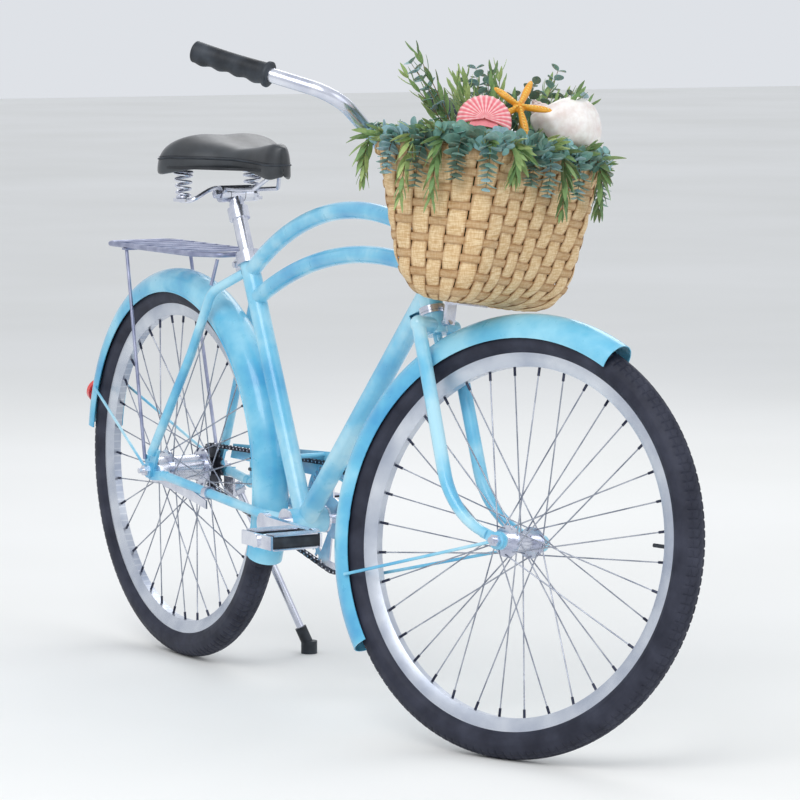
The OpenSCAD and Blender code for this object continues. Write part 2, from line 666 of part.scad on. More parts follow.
front_from = 64;
front_to = 216;
module front_fender() color("deepskyblue") steered() {
    translate(front) fender(front_from, front_to);
    under = steer_at + (sqrt(pow(fender_r, 2) - pow(fork_rake, 2)) - 1.2) * up;
    rod(under, blade_top - 14 * up, 7);
}
module front_fender_stays() color("lightskyblue") steered()
    stay_pair(front, 196, front_old / 2 + plate + stay_wire);

// Basket, tapered so that its back clears the head tube and its foot the fender
basket_gap = 10;
function head_front(z) = steer_at.x - (z - steer_at.z) / tan(head_angle) + (head_r + 3) / sin(head_angle);
foot_d = basket_d * 0.5;
foot_w = basket_w * 0.76;
foot_back = head_front(front.z + fender_r) + basket_gap;
basket_z = front.z + sqrt(pow(fender_r, 2) - pow(max(0, front.x - foot_back - foot_d), 2)) + basket_gap;
basket_back = bar_at.x + bar_r + 14;
belly = 60;
module basket_slab(z, back, depth, width, shrink) {
    corner = depth * 0.24 - shrink / 2;
    hull() for (x = [back + shrink + corner, back + depth - shrink - corner], y = [-1, 1])
        translate([x, y * (width / 2 - shrink - corner), z]) cylinder(h = 1, r = corner, $fn = 32);
}
module basket_shape(shrink, low, top) hull() {
    basket_slab(basket_z + low, foot_back, foot_d, foot_w, shrink);
    basket_slab(basket_z + low + belly, in_line(foot_back, basket_back, 0.3) , in_line(foot_d, basket_d, 0.5),
        in_line(foot_w, basket_w, 0.55), shrink);
    basket_slab(basket_z + top - 1, basket_back, basket_d, basket_w, shrink);
}
module basket() color("burlywood") steered() difference() {
    basket_shape(0, 0, basket_h);
    basket_shape(basket_t, basket_t, basket_h + 1);
}
strap_y = 34;
module basket_straps() color("saddlebrown") steered() for (s = [-1, 1]) difference() {
    union() {
        across(bar_at + [0, s * strap_y - 8, 0]) cylinder(h = 16, r = bar_r + 2.5);
        translate([bar_at.x, s * strap_y - 8, bar_at.z - 2]) cube([basket_back - bar_at.x - 0.2, 16, 3]);
        translate([basket_back - 3.2, s * strap_y - 8, bar_at.z - 26]) cube([3, 16, 40]);
    }
    across(bar_at - [0, 100, 0]) cylinder(h = 200, r = bar_r);
}
module basket_bracket() color("silver") steered() difference() {
    union() {
        rod(crown_front - 3 * ahead, crown_front + 12 * ahead, 6);
        translate([crown_front.x + 6, -12, crown_front.z - 2]) cube([5, 24, basket_z - crown_front.z + 1.7]);
        translate([crown_front.x + 6, -12, basket_z - 3.3]) cube([foot_back + 60 - crown_front.x, 24, 3]);
    }
    rod(blade_top - 20 * up, blade_top + 40 * up, 17);
}

// Wheels, drawn round the axle's middle
module wheel_turn() rotate([90, 0, 0]) rotate_extrude($fn = 144) children();
module tyre() color("#22252c") wheel_turn() difference() {
    translate([wheel_r - tyre_w / 2, 0]) circle(r = tyre_w / 2);
    translate([wheel_r - tyre_w / 2, 0]) circle(r = tyre_w / 2 - tyre_wall);
    translate([rim_r - 40, -rim_w / 2]) square([40, rim_w]);
}
module rim() color("silver") wheel_turn() polygon([[rim_r, rim_w / 2], [rim_r - 9, rim_w / 2],
    [rim_in, rim_w / 4], [rim_in, -rim_w / 4], [rim_r - 9, -rim_w / 2], [rim_r, -rim_w / 2],
    [rim_r, rim_wall - rim_w / 2], [rim_r - 8, rim_wall - rim_w / 2],
    [rim_in + rim_wall, rim_wall - rim_w / 4], [rim_in + rim_wall, rim_w / 4 - rim_wall],
    [rim_r - 8, rim_w / 2 - rim_wall], [rim_r, rim_w / 2 - rim_wall]]);
nipple_l = 13;
lean = 60;
function on_circle(r, a, y) = [r * cos(a), y, r * sin(a)];
// Each spoke leaves its flange hole and slants round the hub, every second one the other way
function spoke_from(i, flange_r, flange_y) = let(s = i % 2 == 0 ? 1 : -1, way = floor(i / 2) % 2 == 0 ? 1 : -1)
    on_circle(flange_r, i * 360 / spokes - way * lean, s * (flange_y + way * (spoke_r + 0.9)));
function spoke_to(i) = on_circle(rim_in, i * 360 / spokes, 0);
module spoke_set(flange_r, flange_y) for (i = [0:spokes - 1]) {
    a = spoke_from(i, flange_r, flange_y);
    b = spoke_to(i);
    rod(a, b - nipple_l * unit(b - a), spoke_r);
}
module nipple_set(flange_r, flange_y) for (i = [0:spokes - 1]) {
    a = spoke_from(i, flange_r, flange_y);
    b = spoke_to(i);
    rod(b - nipple_l * unit(b - a), b, 2.1);
}
valve_lift = [0, 0, rim_in * sin(180 / spokes)];
module valve() color("#22252c")
    rod([rim_in + rim_wall - 1, 0, 0] + valve_lift, [rim_in - 24, 0, 0] + valve_lift, 3);
module hub(shell, flange_r, flange_y, low, high) difference() {
    union() {
        across([0, low, 0]) cylinder(h = high - low, r = shell);
        for (s = [-1, 1]) across([0, s * flange_y - 1.3, 0]) cylinder(h = 2.6, r = flange_r + 4);
    }
    across([0, low - 1, 0]) cylinder(h = high - low + 2, r = axle_r + run);
}
front_hole_r = 20;
rear_hole_r = 29;
module front_tyre() steered() translate(front) tyre();
module front_rim() steered() translate(front) rim();
module front_spokes() color("silver") steered() translate(front) spoke_set(front_hole_r, front_flange);
module front_nipples() color("dimgray") steered() translate(front) nipple_set(front_hole_r, front_flange);
module front_hub() color("silver") steered() translate(front) hub(13, front_hole_r, front_flange,
    -front_old / 2 + 0.4, front_old / 2 - 0.4);
module front_valve() steered() translate(front) valve();
module rear_tyre() translate(rear) tyre();
module rear_rim() translate(rear) rim();
module rear_spokes() color("silver") translate(rear) spoke_set(rear_hole_r, rear_flange);
module rear_nipples() color("dimgray") translate(rear) nipple_set(rear_hole_r, rear_flange);
module rear_hub() color("silver") translate(rear) hub(22, rear_hole_r, rear_flange,
    -rear_old / 2 + 3.4, rear_flange + 8);
module rear_valve() translate(rear) valve();

// Drive
module toothed(teeth, pr, hole, gap_phase) difference() {
    circle(r = pr + 3.4, $fn = 120);
    for (i = [0:teeth - 1]) rotate(gap_phase + i * 360 / teeth) translate([pr, 0]) {
        circle(r = roller_r + tooth_gap, $fn = 24);
        translate([0, -roller_r - tooth_gap]) square([6, 2 * (roller_r + tooth_gap)]);
    }
    circle(r = hole);
}
module sprocket() color("dimgray") difference() {
    union() {
        translate([0, chainline + tooth_w / 2, wheel_r]) rotate([90, 0, 0]) rotate([0, 0, line_angle])
            linear_extrude(tooth_w) toothed(sprocket_teeth, sprocket_pr, axle_r + 1, 180);
        across([0, rear_flange + 8.4, wheel_r]) cylinder(h = chainline + 5.6 - rear_flange - 8.4, r = 15);
    }
    across([0, 0, wheel_r]) cylinder(h = 100, r = axle_r + run);
}
ring_arms = 5;
window = 360 / ring_arms - 24;
module chainring() color("silver") difference() {
    translate([bb.x, chainline + tooth_w / 2, bb.z]) rotate([90, 0, 0]) rotate([0, 0, line_angle])
        linear_extrude(tooth_w) difference() {
            toothed(ring_teeth, ring_pr, crank_axle_r, 0);
            for (i = [0:ring_arms - 1]) rotate(i * 360 / ring_arms) intersection() {
                difference() {
                    circle(r = ring_pr - 15);
                    circle(r = 34);
                }
                polygon([for (a = [0, -window / 2, window / 2]) (a == 0 ? 0 : 2 * ring_pr) * [cos(a), sin(a)]]);
            }
        }
    across([bb.x, 0, bb.z]) cylinder(h = 100, r = crank_axle_r);
}
module crank_axle() color("silver") across([bb.x, -arm_y - arm_t, bb.z])
    cylinder(h = 2 * (arm_y + arm_t), r = crank_axle_r);
// The right arm points forward at rest and the left one back
function pedal_at(s) = bb + [-s * crank_len, s * (arm_y + arm_t), 0];
module crank_arms() color("silver") difference() {
    for (s = [-1, 1]) {
        y = s > 0 ? arm_y : -arm_y - arm_t;
        across([bb.x, y, bb.z]) linear_extrude(arm_t) union() {
            circle(r = 18);
            translate([-s * crank_len, 0]) circle(r = 12);
            polygon([[0, -14], [0, 14], [-s * crank_len, 9], [-s * crank_len, -9]]);
        }
        if (s > 0) across([bb.x, chainline + tooth_w / 2, bb.z])
            cylinder(h = arm_y - chainline - tooth_w / 2, r = 26);
    }
    across([bb.x, -200, bb.z]) cylinder(h = 400, r = crank_axle_r);
    for (s = [-1, 1]) across(pedal_at(s) - [0, 40, 0]) cylinder(h = 80, r = 7);
}
module pedal_spindles() color("silver") for (s = [-1, 1]) {
    across(pedal_at(s) - [0, s > 0 ? arm_t : 0, 0]) cylinder(h = arm_t, r = 7);
    across(pedal_at(s) - [0, s > 0 ? 0 : pedal_w + 4, 0]) cylinder(h = pedal_w + 4, r = 5);
}
tread_h = 9;
module pedal_body(s) color("silver") translate(pedal_at(s) + [0, s * (pedal_w / 2 + 6), 0]) difference() {
    union() {
        for (e = [-1, 1]) translate([-pedal_l / 2, e * (pedal_w / 2 - 2) - 2, -11]) cube([pedal_l, 4, 22]);
        across([0, -pedal_w / 2, 0]) cylinder(h = pedal_w, r = 9);
        for (e = [-1, 1]) across([e * (pedal_l / 2 - 16), -pedal_w / 2, 0]) cylinder(h = pedal_w, r = 3);
        if (s > 0) across([0, pedal_w / 2, 0]) cylinder(h = 4, r = 11);
        if (s < 0) across([0, -pedal_w / 2 - 4, 0]) cylinder(h = 4, r = 11);
    }
    across([0, -pedal_w / 2 - 3, 0]) cylinder(h = pedal_w + 6, r = 5 + run);
}
module pedal_treads(s) color("#202428") translate(pedal_at(s) + [0, s * (pedal_w / 2 + 6), 0]) difference() {
    for (e = [-1, 1]) translate([e * (pedal_l / 2 - 16) - 16, -pedal_w / 2 + 4.2, -13])
        cube([32, pedal_w - 8.4, 26]);
    for (e = [-1, 1]) across([e * (pedal_l / 2 - 16), -pedal_w / 2, 0]) cylinder(h = pedal_w, r = 3);
    for (e = [-1, 1], f = [-1, 1], k = [-1, 1])
        translate([e * (pedal_l / 2 - 16) + k * 8 - 2, -pedal_w, f > 0 ? 10 : -14]) cube([4, 2 * pedal_w, 4]);
}
module pedal_left() pedal_body(1);
module pedal_left_treads() pedal_treads(1);
module pedal_right() pedal_body(-1);
module pedal_right_treads() pedal_treads(-1);

// Arrangement in the basket
foam_h = basket_h - 24;
foam_d = foot_d - 34;
foam_w = foot_w - 84;
foam_z = basket_z + basket_t + 0.5;
foam_top = foam_z + foam_h;
foam_mid = foot_back + foot_d / 2;
pick_r = 2;
// Middle of each shell over the foam, and how far below it the pick ends
scallop_at = [foam_mid + 26, -74, foam_top + 52];
star_at = [foam_mid + 34, 2, foam_top + 88];
nautilus_at = [foam_mid + 14, 84, foam_top + 76];
module pick(at, below) translate([at.x, at.y, foam_top - 50]) cylinder(h = at.z - below - foam_top + 50, r = pick_r);
module picks() {
    pick(scallop_at, 8);
    pick(star_at, 0);
    pick(nautilus_at, 20);
}
module flower_foam() color("darkolivegreen") steered() difference() {
    translate([foam_mid - foam_d / 2, -foam_w / 2, foam_z]) cube([foam_d, foam_w, foam_h]);
    picks();
}
module shell_picks() color("tan") steered() picks();
module seashells() steered() difference() {
    union() {
        color("salmon") translate(scallop_at) rotate([0, 62, -20]) cylinder(h = 30, r1 = 46, r2 = 22, center = true);
        color("orange") translate(star_at) rotate([0, 66, 8]) linear_extrude(13, center = true)
            polygon([for (i = [0:9]) (i % 2 == 0 ? 50 : 19) * [cos(i * 36), sin(i * 36)]]);
        color("linen") translate(nautilus_at) rotate([90, 0, 58]) cylinder(h = 40, r = 42, center = true);
    }
    picks();
}

frame_tubes();
rear_stays();
seat_collar();
headset_cups();
bracket_cups();
rear_axle();
rear_fender();
rear_fender_stays();
rear_reflector();
rack_deck();
rack_struts();
chain();
chain_guard();
coaster_arm();
kickstand_bracket();
kickstand_leg();
kickstand_foot();
seat_post();
saddle_clamp();
rail_clamps();
saddle_rails();
saddle_springs();
saddle_base();
saddle_cover();
fork();
headset_races();
stem();
handlebar();
grip_left();
grip_right();
front_axle();
front_fender();
front_fender_stays();
basket();
basket_straps();
basket_bracket();
front_tyre();
front_rim();
front_spokes();
front_nipples();
front_hub();
front_valve();
rear_tyre();
rear_rim();
rear_spokes();
rear_nipples();
rear_hub();
rear_valve();
sprocket();
crank_axle();
crank_arms();
chainring();
pedal_spindles();
pedal_left();
pedal_left_treads();
pedal_right();
pedal_right_treads();
flower_foam();
shell_picks();
seashells();
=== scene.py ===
# The looks of a cruiser bicycle with a woven basket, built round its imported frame. Lengths are in metres.
import json
import math
import random

import bmesh
import bpy
import numpy as np
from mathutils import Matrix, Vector


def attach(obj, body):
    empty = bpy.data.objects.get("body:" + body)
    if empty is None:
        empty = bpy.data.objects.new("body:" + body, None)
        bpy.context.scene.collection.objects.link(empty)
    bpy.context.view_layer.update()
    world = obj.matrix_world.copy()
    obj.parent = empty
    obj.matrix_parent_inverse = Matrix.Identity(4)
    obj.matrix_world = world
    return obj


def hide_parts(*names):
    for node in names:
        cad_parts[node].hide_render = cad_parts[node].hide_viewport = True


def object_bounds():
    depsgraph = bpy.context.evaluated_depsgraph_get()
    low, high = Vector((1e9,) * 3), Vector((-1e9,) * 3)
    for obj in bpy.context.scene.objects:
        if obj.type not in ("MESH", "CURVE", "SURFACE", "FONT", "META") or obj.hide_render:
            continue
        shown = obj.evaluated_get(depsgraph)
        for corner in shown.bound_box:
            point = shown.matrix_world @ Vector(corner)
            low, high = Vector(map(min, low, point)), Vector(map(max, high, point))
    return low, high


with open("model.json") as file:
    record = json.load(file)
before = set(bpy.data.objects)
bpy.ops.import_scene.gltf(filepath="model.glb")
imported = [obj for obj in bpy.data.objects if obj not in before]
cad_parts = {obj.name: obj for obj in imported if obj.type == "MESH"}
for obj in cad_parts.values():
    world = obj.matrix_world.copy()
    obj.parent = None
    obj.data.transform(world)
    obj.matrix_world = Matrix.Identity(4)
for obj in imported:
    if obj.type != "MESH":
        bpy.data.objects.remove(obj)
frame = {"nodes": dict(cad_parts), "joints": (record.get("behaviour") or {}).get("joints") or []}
CAD_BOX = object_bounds()
JOINT = {j["name"]: j for j in frame["joints"]}
DRAW = random.Random(11)
MM = 0.001
TAU = 2 * math.pi
Z = np.array([0.0, 0.0, 1.0])

# The steered pieces are made with the bars straight and then turned to their rest angle
STEER_POINT = np.array(JOINT["steer"]["pos_m"])
STEER_AXIS = np.array(JOINT["steer"]["axis"])
STEER_REST = -math.radians(sum(JOINT["steer"]["range_deg"]) / 2)


# ---------------------------------------------------------------- geometry
def unit(v):
    return np.asarray(v, float) / np.linalg.norm(v)


def turn(points, angle=STEER_REST):
    """Points turned about the steering axis."""
    v = np.asarray(points, float) - STEER_POINT
    along = np.outer(v @ STEER_AXIS, STEER_AXIS)
    return STEER_POINT + v * math.cos(angle) + np.cross(STEER_AXIS, v) * math.sin(angle) \
        + along * (1 - math.cos(angle))


def corners(node, turned=False):
    """A CAD node's vertices, with the bars straight if it is a steered node."""
    co = np.array([v.co for v in frame["nodes"][node].data.vertices])
    return turn(co, -STEER_REST) if turned else co


def ends(node, turned=False):
    co = corners(node, turned)
    return co.min(0), co.max(0)


def loft(rings, closed=False, caps=True):
    """Points and faces of a skin over rings of equally many points."""
    n, m = len(rings), len(rings[0])
    faces = []
    for i in range(n if closed else n - 1):
        a, b = i * m, (i + 1) % n * m
        faces += [(a + j, a + (j + 1) % m, b + (j + 1) % m, b + j) for j in range(m)]
    if caps and not closed:
        faces += [tuple(range(m))[::-1], tuple(range((n - 1) * m, n * m))]
    return np.concatenate(rings), faces


def round_section(radius, sides=12):
    a = np.arange(sides) * TAU / sides
    return radius * np.stack([np.cos(a), np.sin(a)], 1)


def flat_section(width, thick):
    """A flat bar's outline with its corners taken off."""
    w, t, c = width / 2, thick / 2, min(width, thick) * 0.3
    return np.array([[w - c, t], [w, t - c], [w, c - t], [w - c, -t], [c - w, -t], [-w, c - t], [-w, t - c], [c - w, t]])


def sweep(path, section, scale=None, closed=False, side=None, caps=True):
    """A section carried along a path. The section's first axis is side, a vector or one for each point."""
    p = np.asarray(path, float)
    t = np.roll(p, -1, 0) - np.roll(p, 1, 0) if closed else np.gradient(p, axis=0)
    t /= np.linalg.norm(t, axis=1)[:, None]
    given = None if side is None else np.broadcast_to(np.asarray(side, float), p.shape)
    u = np.array([0.3, 0.9, 0.1]) if given is None else given[0]
    rings = []
    for i, (at, way) in enumerate(zip(p, t)):
        u = u if given is None else given[i]
        u = unit(u - (u @ way) * way)
        v = np.cross(way, u)
        k = 1 if scale is None else scale[i]
        rings.append(at + k * (section[:, :1] * u + section[:, 1:2] * v))
    return loft(rings, closed, caps)


def ribbon(grid, normals, thick):
    """A thin closed solid: a grid of points (rows, columns, 3) with its normals, thick metres thick."""
    rows, cols = grid.shape[:2]
    top = (grid + normals * thick / 2).reshape(-1, 3)
    low = (grid - normals * thick / 2).reshape(-1, 3)
    k = rows * cols
    faces = []
    for i in range(rows - 1):
        for j in range(cols - 1):
            a, b, c, d = i * cols + j, i * cols + j + 1, (i + 1) * cols + j + 1, (i + 1) * cols + j
            faces += [(a, b, c, d), (a + k, d + k, c + k, b + k)]
    rim = [j for j in range(cols)] + [i * cols + cols - 1 for i in range(1, rows)] \
        + [(rows - 1) * cols + j for j in range(cols - 2, -1, -1)] + [i * cols for i in range(rows - 2, 0, -1)]
    faces += [(a, a + k, b + k, b) for a, b in zip(rim, rim[1:] + rim[:1])]
    return np.concatenate([top, low]), faces


class Shape:
    """Points and faces gathered for one piece, with a tint from 0 to 1 on each point for its material."""

    def __init__(self):
        self.points, self.faces, self.tints = [], [], []

    def add(self, made, tint=0.5):
        points, faces = made
        start = len(self.points)
        self.points += [tuple(p) for p in points]
        self.faces += [tuple(start + i for i in f) for f in faces]
        self.tints += list(np.broadcast_to(tint, len(points)))
        return self

    def piece(self, name, body, slot, material, turned=False, sharp=40, subdivide=0):
        points = turn(self.points) if turned else self.points
        mesh = bpy.data.meshes.new(name)
        mesh.from_pydata([tuple(p) for p in points], [], self.faces)
        mesh.attributes.new("tint", "FLOAT", "POINT").data.foreach_set("value", np.array(self.tints, np.float32))
        solid = bmesh.new()
        solid.from_mesh(mesh)
        bmesh.ops.recalc_face_normals(solid, faces=solid.faces)
        solid.to_mesh(mesh)
        solid.free()
        mesh.materials.append(material)
        mesh.shade_smooth()
        mesh.set_sharp_from_angle(angle=math.radians(sharp))
        obj = bpy.data.objects.new(name, mesh)
        bpy.context.scene.collection.objects.link(obj)
        if subdivide:
            obj.modifiers.new("smooth", "SUBSURF").levels = subdivide
            obj.modifiers["smooth"].render_levels = subdivide
        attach(obj, body)
        return obj


# ---------------------------------------------------------------- materials
def rgb(r, g, b):
    """A colour as it looks on screen, 0 to 255, as the linear values that Blender takes."""
    return [((c / 255 + 0.055) / 1.055) ** 2.4 if c > 10 else c / 255 / 12.92 for c in (r, g, b)] + [1.0]


class Surface:
    """A Principled material whose colour, roughness and relief come from textures in the object's own metres."""

    def __init__(self, name, **sockets):
        self.material = bpy.data.materials.new(name)
        self.material.use_nodes = True
        self.nodes = self.material.node_tree.nodes
        self.links = self.material.node_tree.links
        self.shader = self.nodes["Principled BSDF"]
        self.relief = None
        for key, value in sockets.items():
            self.shader.inputs[key.replace("_", " ")].default_value = value

    def node(self, kind, **sockets):
        made = self.nodes.new(kind)
        for key, value in sockets.items():
            made.inputs[key.replace("_", " ")].default_value = value
        return made

    def place(self, stretch=(1, 1, 1), centre=(0, 0, 0)):
        mapping = self.node("ShaderNodeMapping", Scale=stretch)
        mapping.inputs["Location"].default_value = [-c * s for c, s in zip(centre, stretch)]
        self.links.new(self.node("ShaderNodeTexCoord").outputs["Object"], mapping.inputs["Vector"])
        return mapping.outputs["Vector"]

    def noise(self, scale, detail=3.0, stretch=(1, 1, 1)):
        made = self.node("ShaderNodeTexNoise", Scale=scale, Detail=detail)
        self.links.new(self.place(stretch), made.inputs["Vector"])
        return made.outputs["Fac"]

    def cells(self, scale, stretch=(1, 1, 1), feature="F1"):
        made = self.node("ShaderNodeTexVoronoi", Scale=scale)
        made.feature = feature
        self.links.new(self.place(stretch), made.inputs["Vector"])
        return made.outputs["Distance"]

    def rings(self, scale, centre, stretch=(1, 0, 1), distortion=0.4):
        made = self.node("ShaderNodeTexWave", Scale=scale, Distortion=distortion, Detail=2.0)
        made.wave_type = "RINGS"
        made.rings_direction = "SPHERICAL"
        self.links.new(self.place(stretch, centre), made.inputs["Vector"])
        return made.outputs["Fac"]

    def tint(self):
        made = self.node("ShaderNodeAttribute")
        made.attribute_name = "tint"
        return made.outputs["Fac"]

    def ramp(self, fac, *stops):
        made = self.node("ShaderNodeValToRGB")
        for i, (at, colour) in enumerate(stops):
            stop = made.color_ramp.elements[i] if i < 2 else made.color_ramp.elements.new(at)
            stop.position = at
            stop.color = colour
        self.links.new(fac, made.inputs["Fac"])
        return made.outputs["Color"]

    def mix(self, fac, a, b, blend="MIX"):
        made = self.node("ShaderNodeMix")
        made.data_type = "RGBA"
        made.blend_type = blend
        for socket, value in ((made.inputs[0], fac), (made.inputs[6], a), (made.inputs[7], b)):
            if isinstance(value, (int, float, list)):
                socket.default_value = value
            else:
                self.links.new(value, socket)
        return made.outputs[2]

    def colour(self, socket):
        self.links.new(socket, self.shader.inputs["Base Color"])
        return self

    def rough(self, fac, low, high):
        made = self.node("ShaderNodeMapRange", To_Min=low, To_Max=high)
        self.links.new(fac, made.inputs["Value"])
        self.links.new(made.outputs["Result"], self.shader.inputs["Roughness"])
        return self

    def bump(self, fac, height, strength=1.0):
        made = self.node("ShaderNodeBump", Strength=strength, Distance=height)
        self.links.new(fac, made.inputs["Height"])
        if self.relief:
            self.links.new(self.relief, made.inputs["Normal"])
        self.relief = made.outputs["Normal"]
        self.links.new(self.relief, self.shader.inputs["Normal"])
        return self


def enamel(name, pale, middle, deep, stretch=(1, 1, 1)):
    """Gloss paint with soft washes of lighter and deeper colour, and a fine orange-peel relief."""
    s = Surface(name, Coat_Weight=0.55, Coat_Roughness=0.08, Specular_IOR_Level=0.5)
    wash = s.ramp(s.noise(9, 4, stretch), (0.3, deep), (0.62, pale), (0.48, middle))
    specks = s.ramp(s.noise(900, 2), (0.28, rgb(90, 130, 150)), (0.34, rgb(255, 255, 255)))
    s.colour(s.mix(0.18, wash, specks, "MULTIPLY"))
    s.rough(s.noise(60, 3), 0.22, 0.38)
    return s.bump(s.noise(700, 2), 0.00004, 0.5).material


def metal(name, light, dark, rough=(0.16, 0.34), stretch=(1, 1, 1), grain=500):
    """Plated or bare metal with cloudy tone, fine polishing lines and small pits."""
    s = Surface(name, Metallic=0.92)
    s.colour(s.ramp(s.noise(30, 5, stretch), (0.3, dark), (0.68, light)))
    s.rough(s.noise(140, 4, stretch), *rough)
    s.bump(s.noise(grain, 3, stretch), 0.000012, 0.4)
    return s.bump(s.cells(1400), 0.000008, 0.2).material


def rubber(name, light, dark, rough=(0.5, 0.72)):
    """Moulded rubber with a dusty bloom and a fine matt grain."""
    s = Surface(name, Specular_IOR_Level=0.35)
    s.colour(s.ramp(s.noise(24, 6), (0.35, dark), (0.72, light)))
    s.rough(s.noise(90, 3), *rough)
    s.bump(s.noise(1100, 3), 0.00006, 0.7)
    return s.bump(s.cells(420), 0.00003, 0.3).material


def alloy_rim(name, centre):
    """Satin rim metal turned on a lathe, with rings round the axle."""
    s = Surface(name, Metallic=0.75)
    cloud = s.ramp(s.noise(14, 5), (0.3, rgb(150, 160, 180)), (0.7, rgb(226, 230, 236)))
    s.colour(s.mix(0.35, cloud, s.ramp(s.rings(900, centre), (0.3, rgb(170, 178, 195)), (0.7, rgb(240, 242, 245)))))
    s.rough(s.noise(120, 3), 0.24, 0.42)
    return s.bump(s.rings(1500, centre), 0.00003, 0.5).material


def vinyl(name):
    """Smooth black seat vinyl with a pebbled grain, a soft shader sheen, and patches of lighter grey painted into its
    colour as painted highlight.
    """
    s = Surface(name, Specular_IOR_Level=0.55, Sheen_Weight=0.25, Sheen_Roughness=0.4, Coat_Weight=0.12, Coat_Roughness=0.3)
    # The lighter grey patches in this colour ramp are painted highlight
    s.colour(s.ramp(s.noise(16, 4), (0.32, rgb(18, 20, 24)), (0.75, rgb(62, 67, 72))))
    s.rough(s.noise(50, 3), 0.34, 0.5)
    s.bump(s.cells(700), 0.00018, 0.35)
    return s.bump(s.noise(1600, 2), 0.00005, 0.5).material


def splint(name):
    """Flat basket splints: pale tan with fine grain along them, browner at their edges, and browner where they pass
    under a crossing strand as painted shade.
    """
    s = Surface(name, Specular_IOR_Level=0.3)
    grain = s.ramp(s.noise(60, 8, (1, 1, 9)), (0.3, rgb(204, 170, 122)), (0.7, rgb(240, 220, 184)))
    fibre = s.ramp(s.noise(420, 4, (1, 1, 0.25)), (0.3, rgb(212, 184, 146)), (0.65, rgb(255, 252, 244)))
    body = s.mix(0.55, grain, fibre, "MULTIPLY")
    # Tints above a half turn brown: the splints' edges, and as painted shade the places where a strand passes under
    # another
    edge = s.ramp(s.tint(), (0.5, rgb(0, 0, 0)), (1.0, rgb(235, 235, 235)))
    s.colour(s.mix(edge, body, rgb(136, 88, 42)))
    s.rough(s.noise(80, 3), 0.5, 0.75)
    s.bump(s.noise(500, 5, (1, 1, 0.2)), 0.0002, 0.6)
    return s.bump(s.noise(60, 2), 0.0006, 0.25).material


def leather(name):
    s = Surface(name, Specular_IOR_Level=0.4)
    s.colour(s.ramp(s.noise(40, 5), (0.3, rgb(96, 56, 26)), (0.72, rgb(164, 104, 56))))
    s.rough(s.noise(120, 3), 0.42, 0.65)
    return s.bump(s.cells(900), 0.00015, 0.5).material


def lens(name):
    """Red reflector lens with its moulded prism cells."""
    s = Surface(name, Specular_IOR_Level=0.7, Coat_Weight=0.8, Coat_Roughness=0.05)
    s.colour(s.ramp(s.cells(380), (0.0, rgb(150, 8, 10)), (0.6, rgb(238, 40, 34))))
    s.rough(s.noise(200, 2), 0.1, 0.22)
    return s.bump(s.cells(380), 0.0006, 0.8).material


def leaf_skin(name, dark, middle, pale):
    """Leaves whose tint runs from dark to pale, with blotches and a waxy bloom."""
    s = Surface(name, Specular_IOR_Level=0.35, Sheen_Weight=0.15, Subsurface_Weight=0.08)
    tone = s.ramp(s.tint(), (0.0, dark), (1.0, pale), (0.5, middle))
    s.colour(s.mix(0.4, tone, s.ramp(s.noise(160, 4), (0.3, rgb(120, 140, 120)), (0.7, rgb(255, 255, 250))), "MULTIPLY"))
    s.rough(s.noise(200, 2), 0.42, 0.62)
    return s.bump(s.noise(500, 3), 0.0002, 0.5).material


def shell_skin(name, stops, scale=300):
    """Sea shell: its tint runs through the colours, with fine growth lines and a chalky gloss."""
    s = Surface(name, Specular_IOR_Level=0.5, Coat_Weight=0.2, Coat_Roughness=0.2, Subsurface_Weight=0.06)
    tone = s.ramp(s.tint(), *stops)
    s.colour(s.mix(0.25, tone, s.ramp(s.noise(120, 5), (0.35, rgb(205, 180, 165)), (0.65, rgb(255, 255, 255))), "MULTIPLY"))
    s.rough(s.noise(90, 3), 0.32, 0.55)
    return s.bump(s.noise(scale, 4), 0.0004, 0.5).material


def moss(name):
    s = Surface(name, Specular_IOR_Level=0.2)
    s.colour(s.ramp(s.noise(130, 8), (0.3, rgb(34, 56, 34)), (0.7, rgb(104, 132, 74))))
    s.rough(s.noise(90, 3), 0.8, 0.95)
    return s.bump(s.noise(260, 8), 0.003, 0.9).material


REAR_AXLE = JOINT["rear_wheel_spin"]["pos_m"]
FRONT_AXLE = JOINT["front_wheel_spin"]["pos_m"]
PAINT = enamel("frame_paint", rgb(176, 224, 240), rgb(116, 196, 228), rgb(74, 166, 212))
FENDER_PAINT = enamel("fender_paint", rgb(150, 214, 236), rgb(100, 188, 222), rgb(54, 150, 204), (1, 0.5, 1))
CHROME = metal("bright_steel", rgb(232, 234, 242), rgb(196, 200, 216), (0.18, 0.3))
RACK = metal("rack_steel", rgb(186, 190, 212), rgb(128, 134, 164), (0.3, 0.5))
DARK = metal("dark_steel", rgb(96, 98, 108), rgb(38, 40, 48), (0.3, 0.5))
SPOKE = metal("spoke_steel", rgb(190, 194, 204), rgb(120, 126, 142), (0.2, 0.36))
NIPPLE = metal("nipple_steel", rgb(74, 78, 96), rgb(34, 38, 56), (0.3, 0.45))
TYRE = rubber("tyre_rubber", rgb(54, 57, 72), rgb(28, 31, 46))
BLACK = rubber("black_rubber", rgb(64, 70, 78), rgb(20, 24, 30), (0.4, 0.6))
VINYL = vinyl("saddle_vinyl")
SPLINT = splint("wicker")


def dress(material, *nodes, sharp=32):
    """Gives CAD nodes their material and smooth shading, with their own vertices untouched."""
    for name in nodes:
        obj = frame["nodes"][name]
        obj.data.materials.clear()
        obj.data.materials.append(material)
        if obj.data.has_custom_normals:
            bpy.context.view_layer.objects.active = obj
            bpy.ops.mesh.customdata_custom_splitnormals_clear()
        obj.data.shade_smooth()
        obj.modifiers.new("weld", "WELD").merge_threshold = 0.00001
        split = obj.modifiers.new("edges", "EDGE_SPLIT")
        split.split_angle = math.radians(sharp)


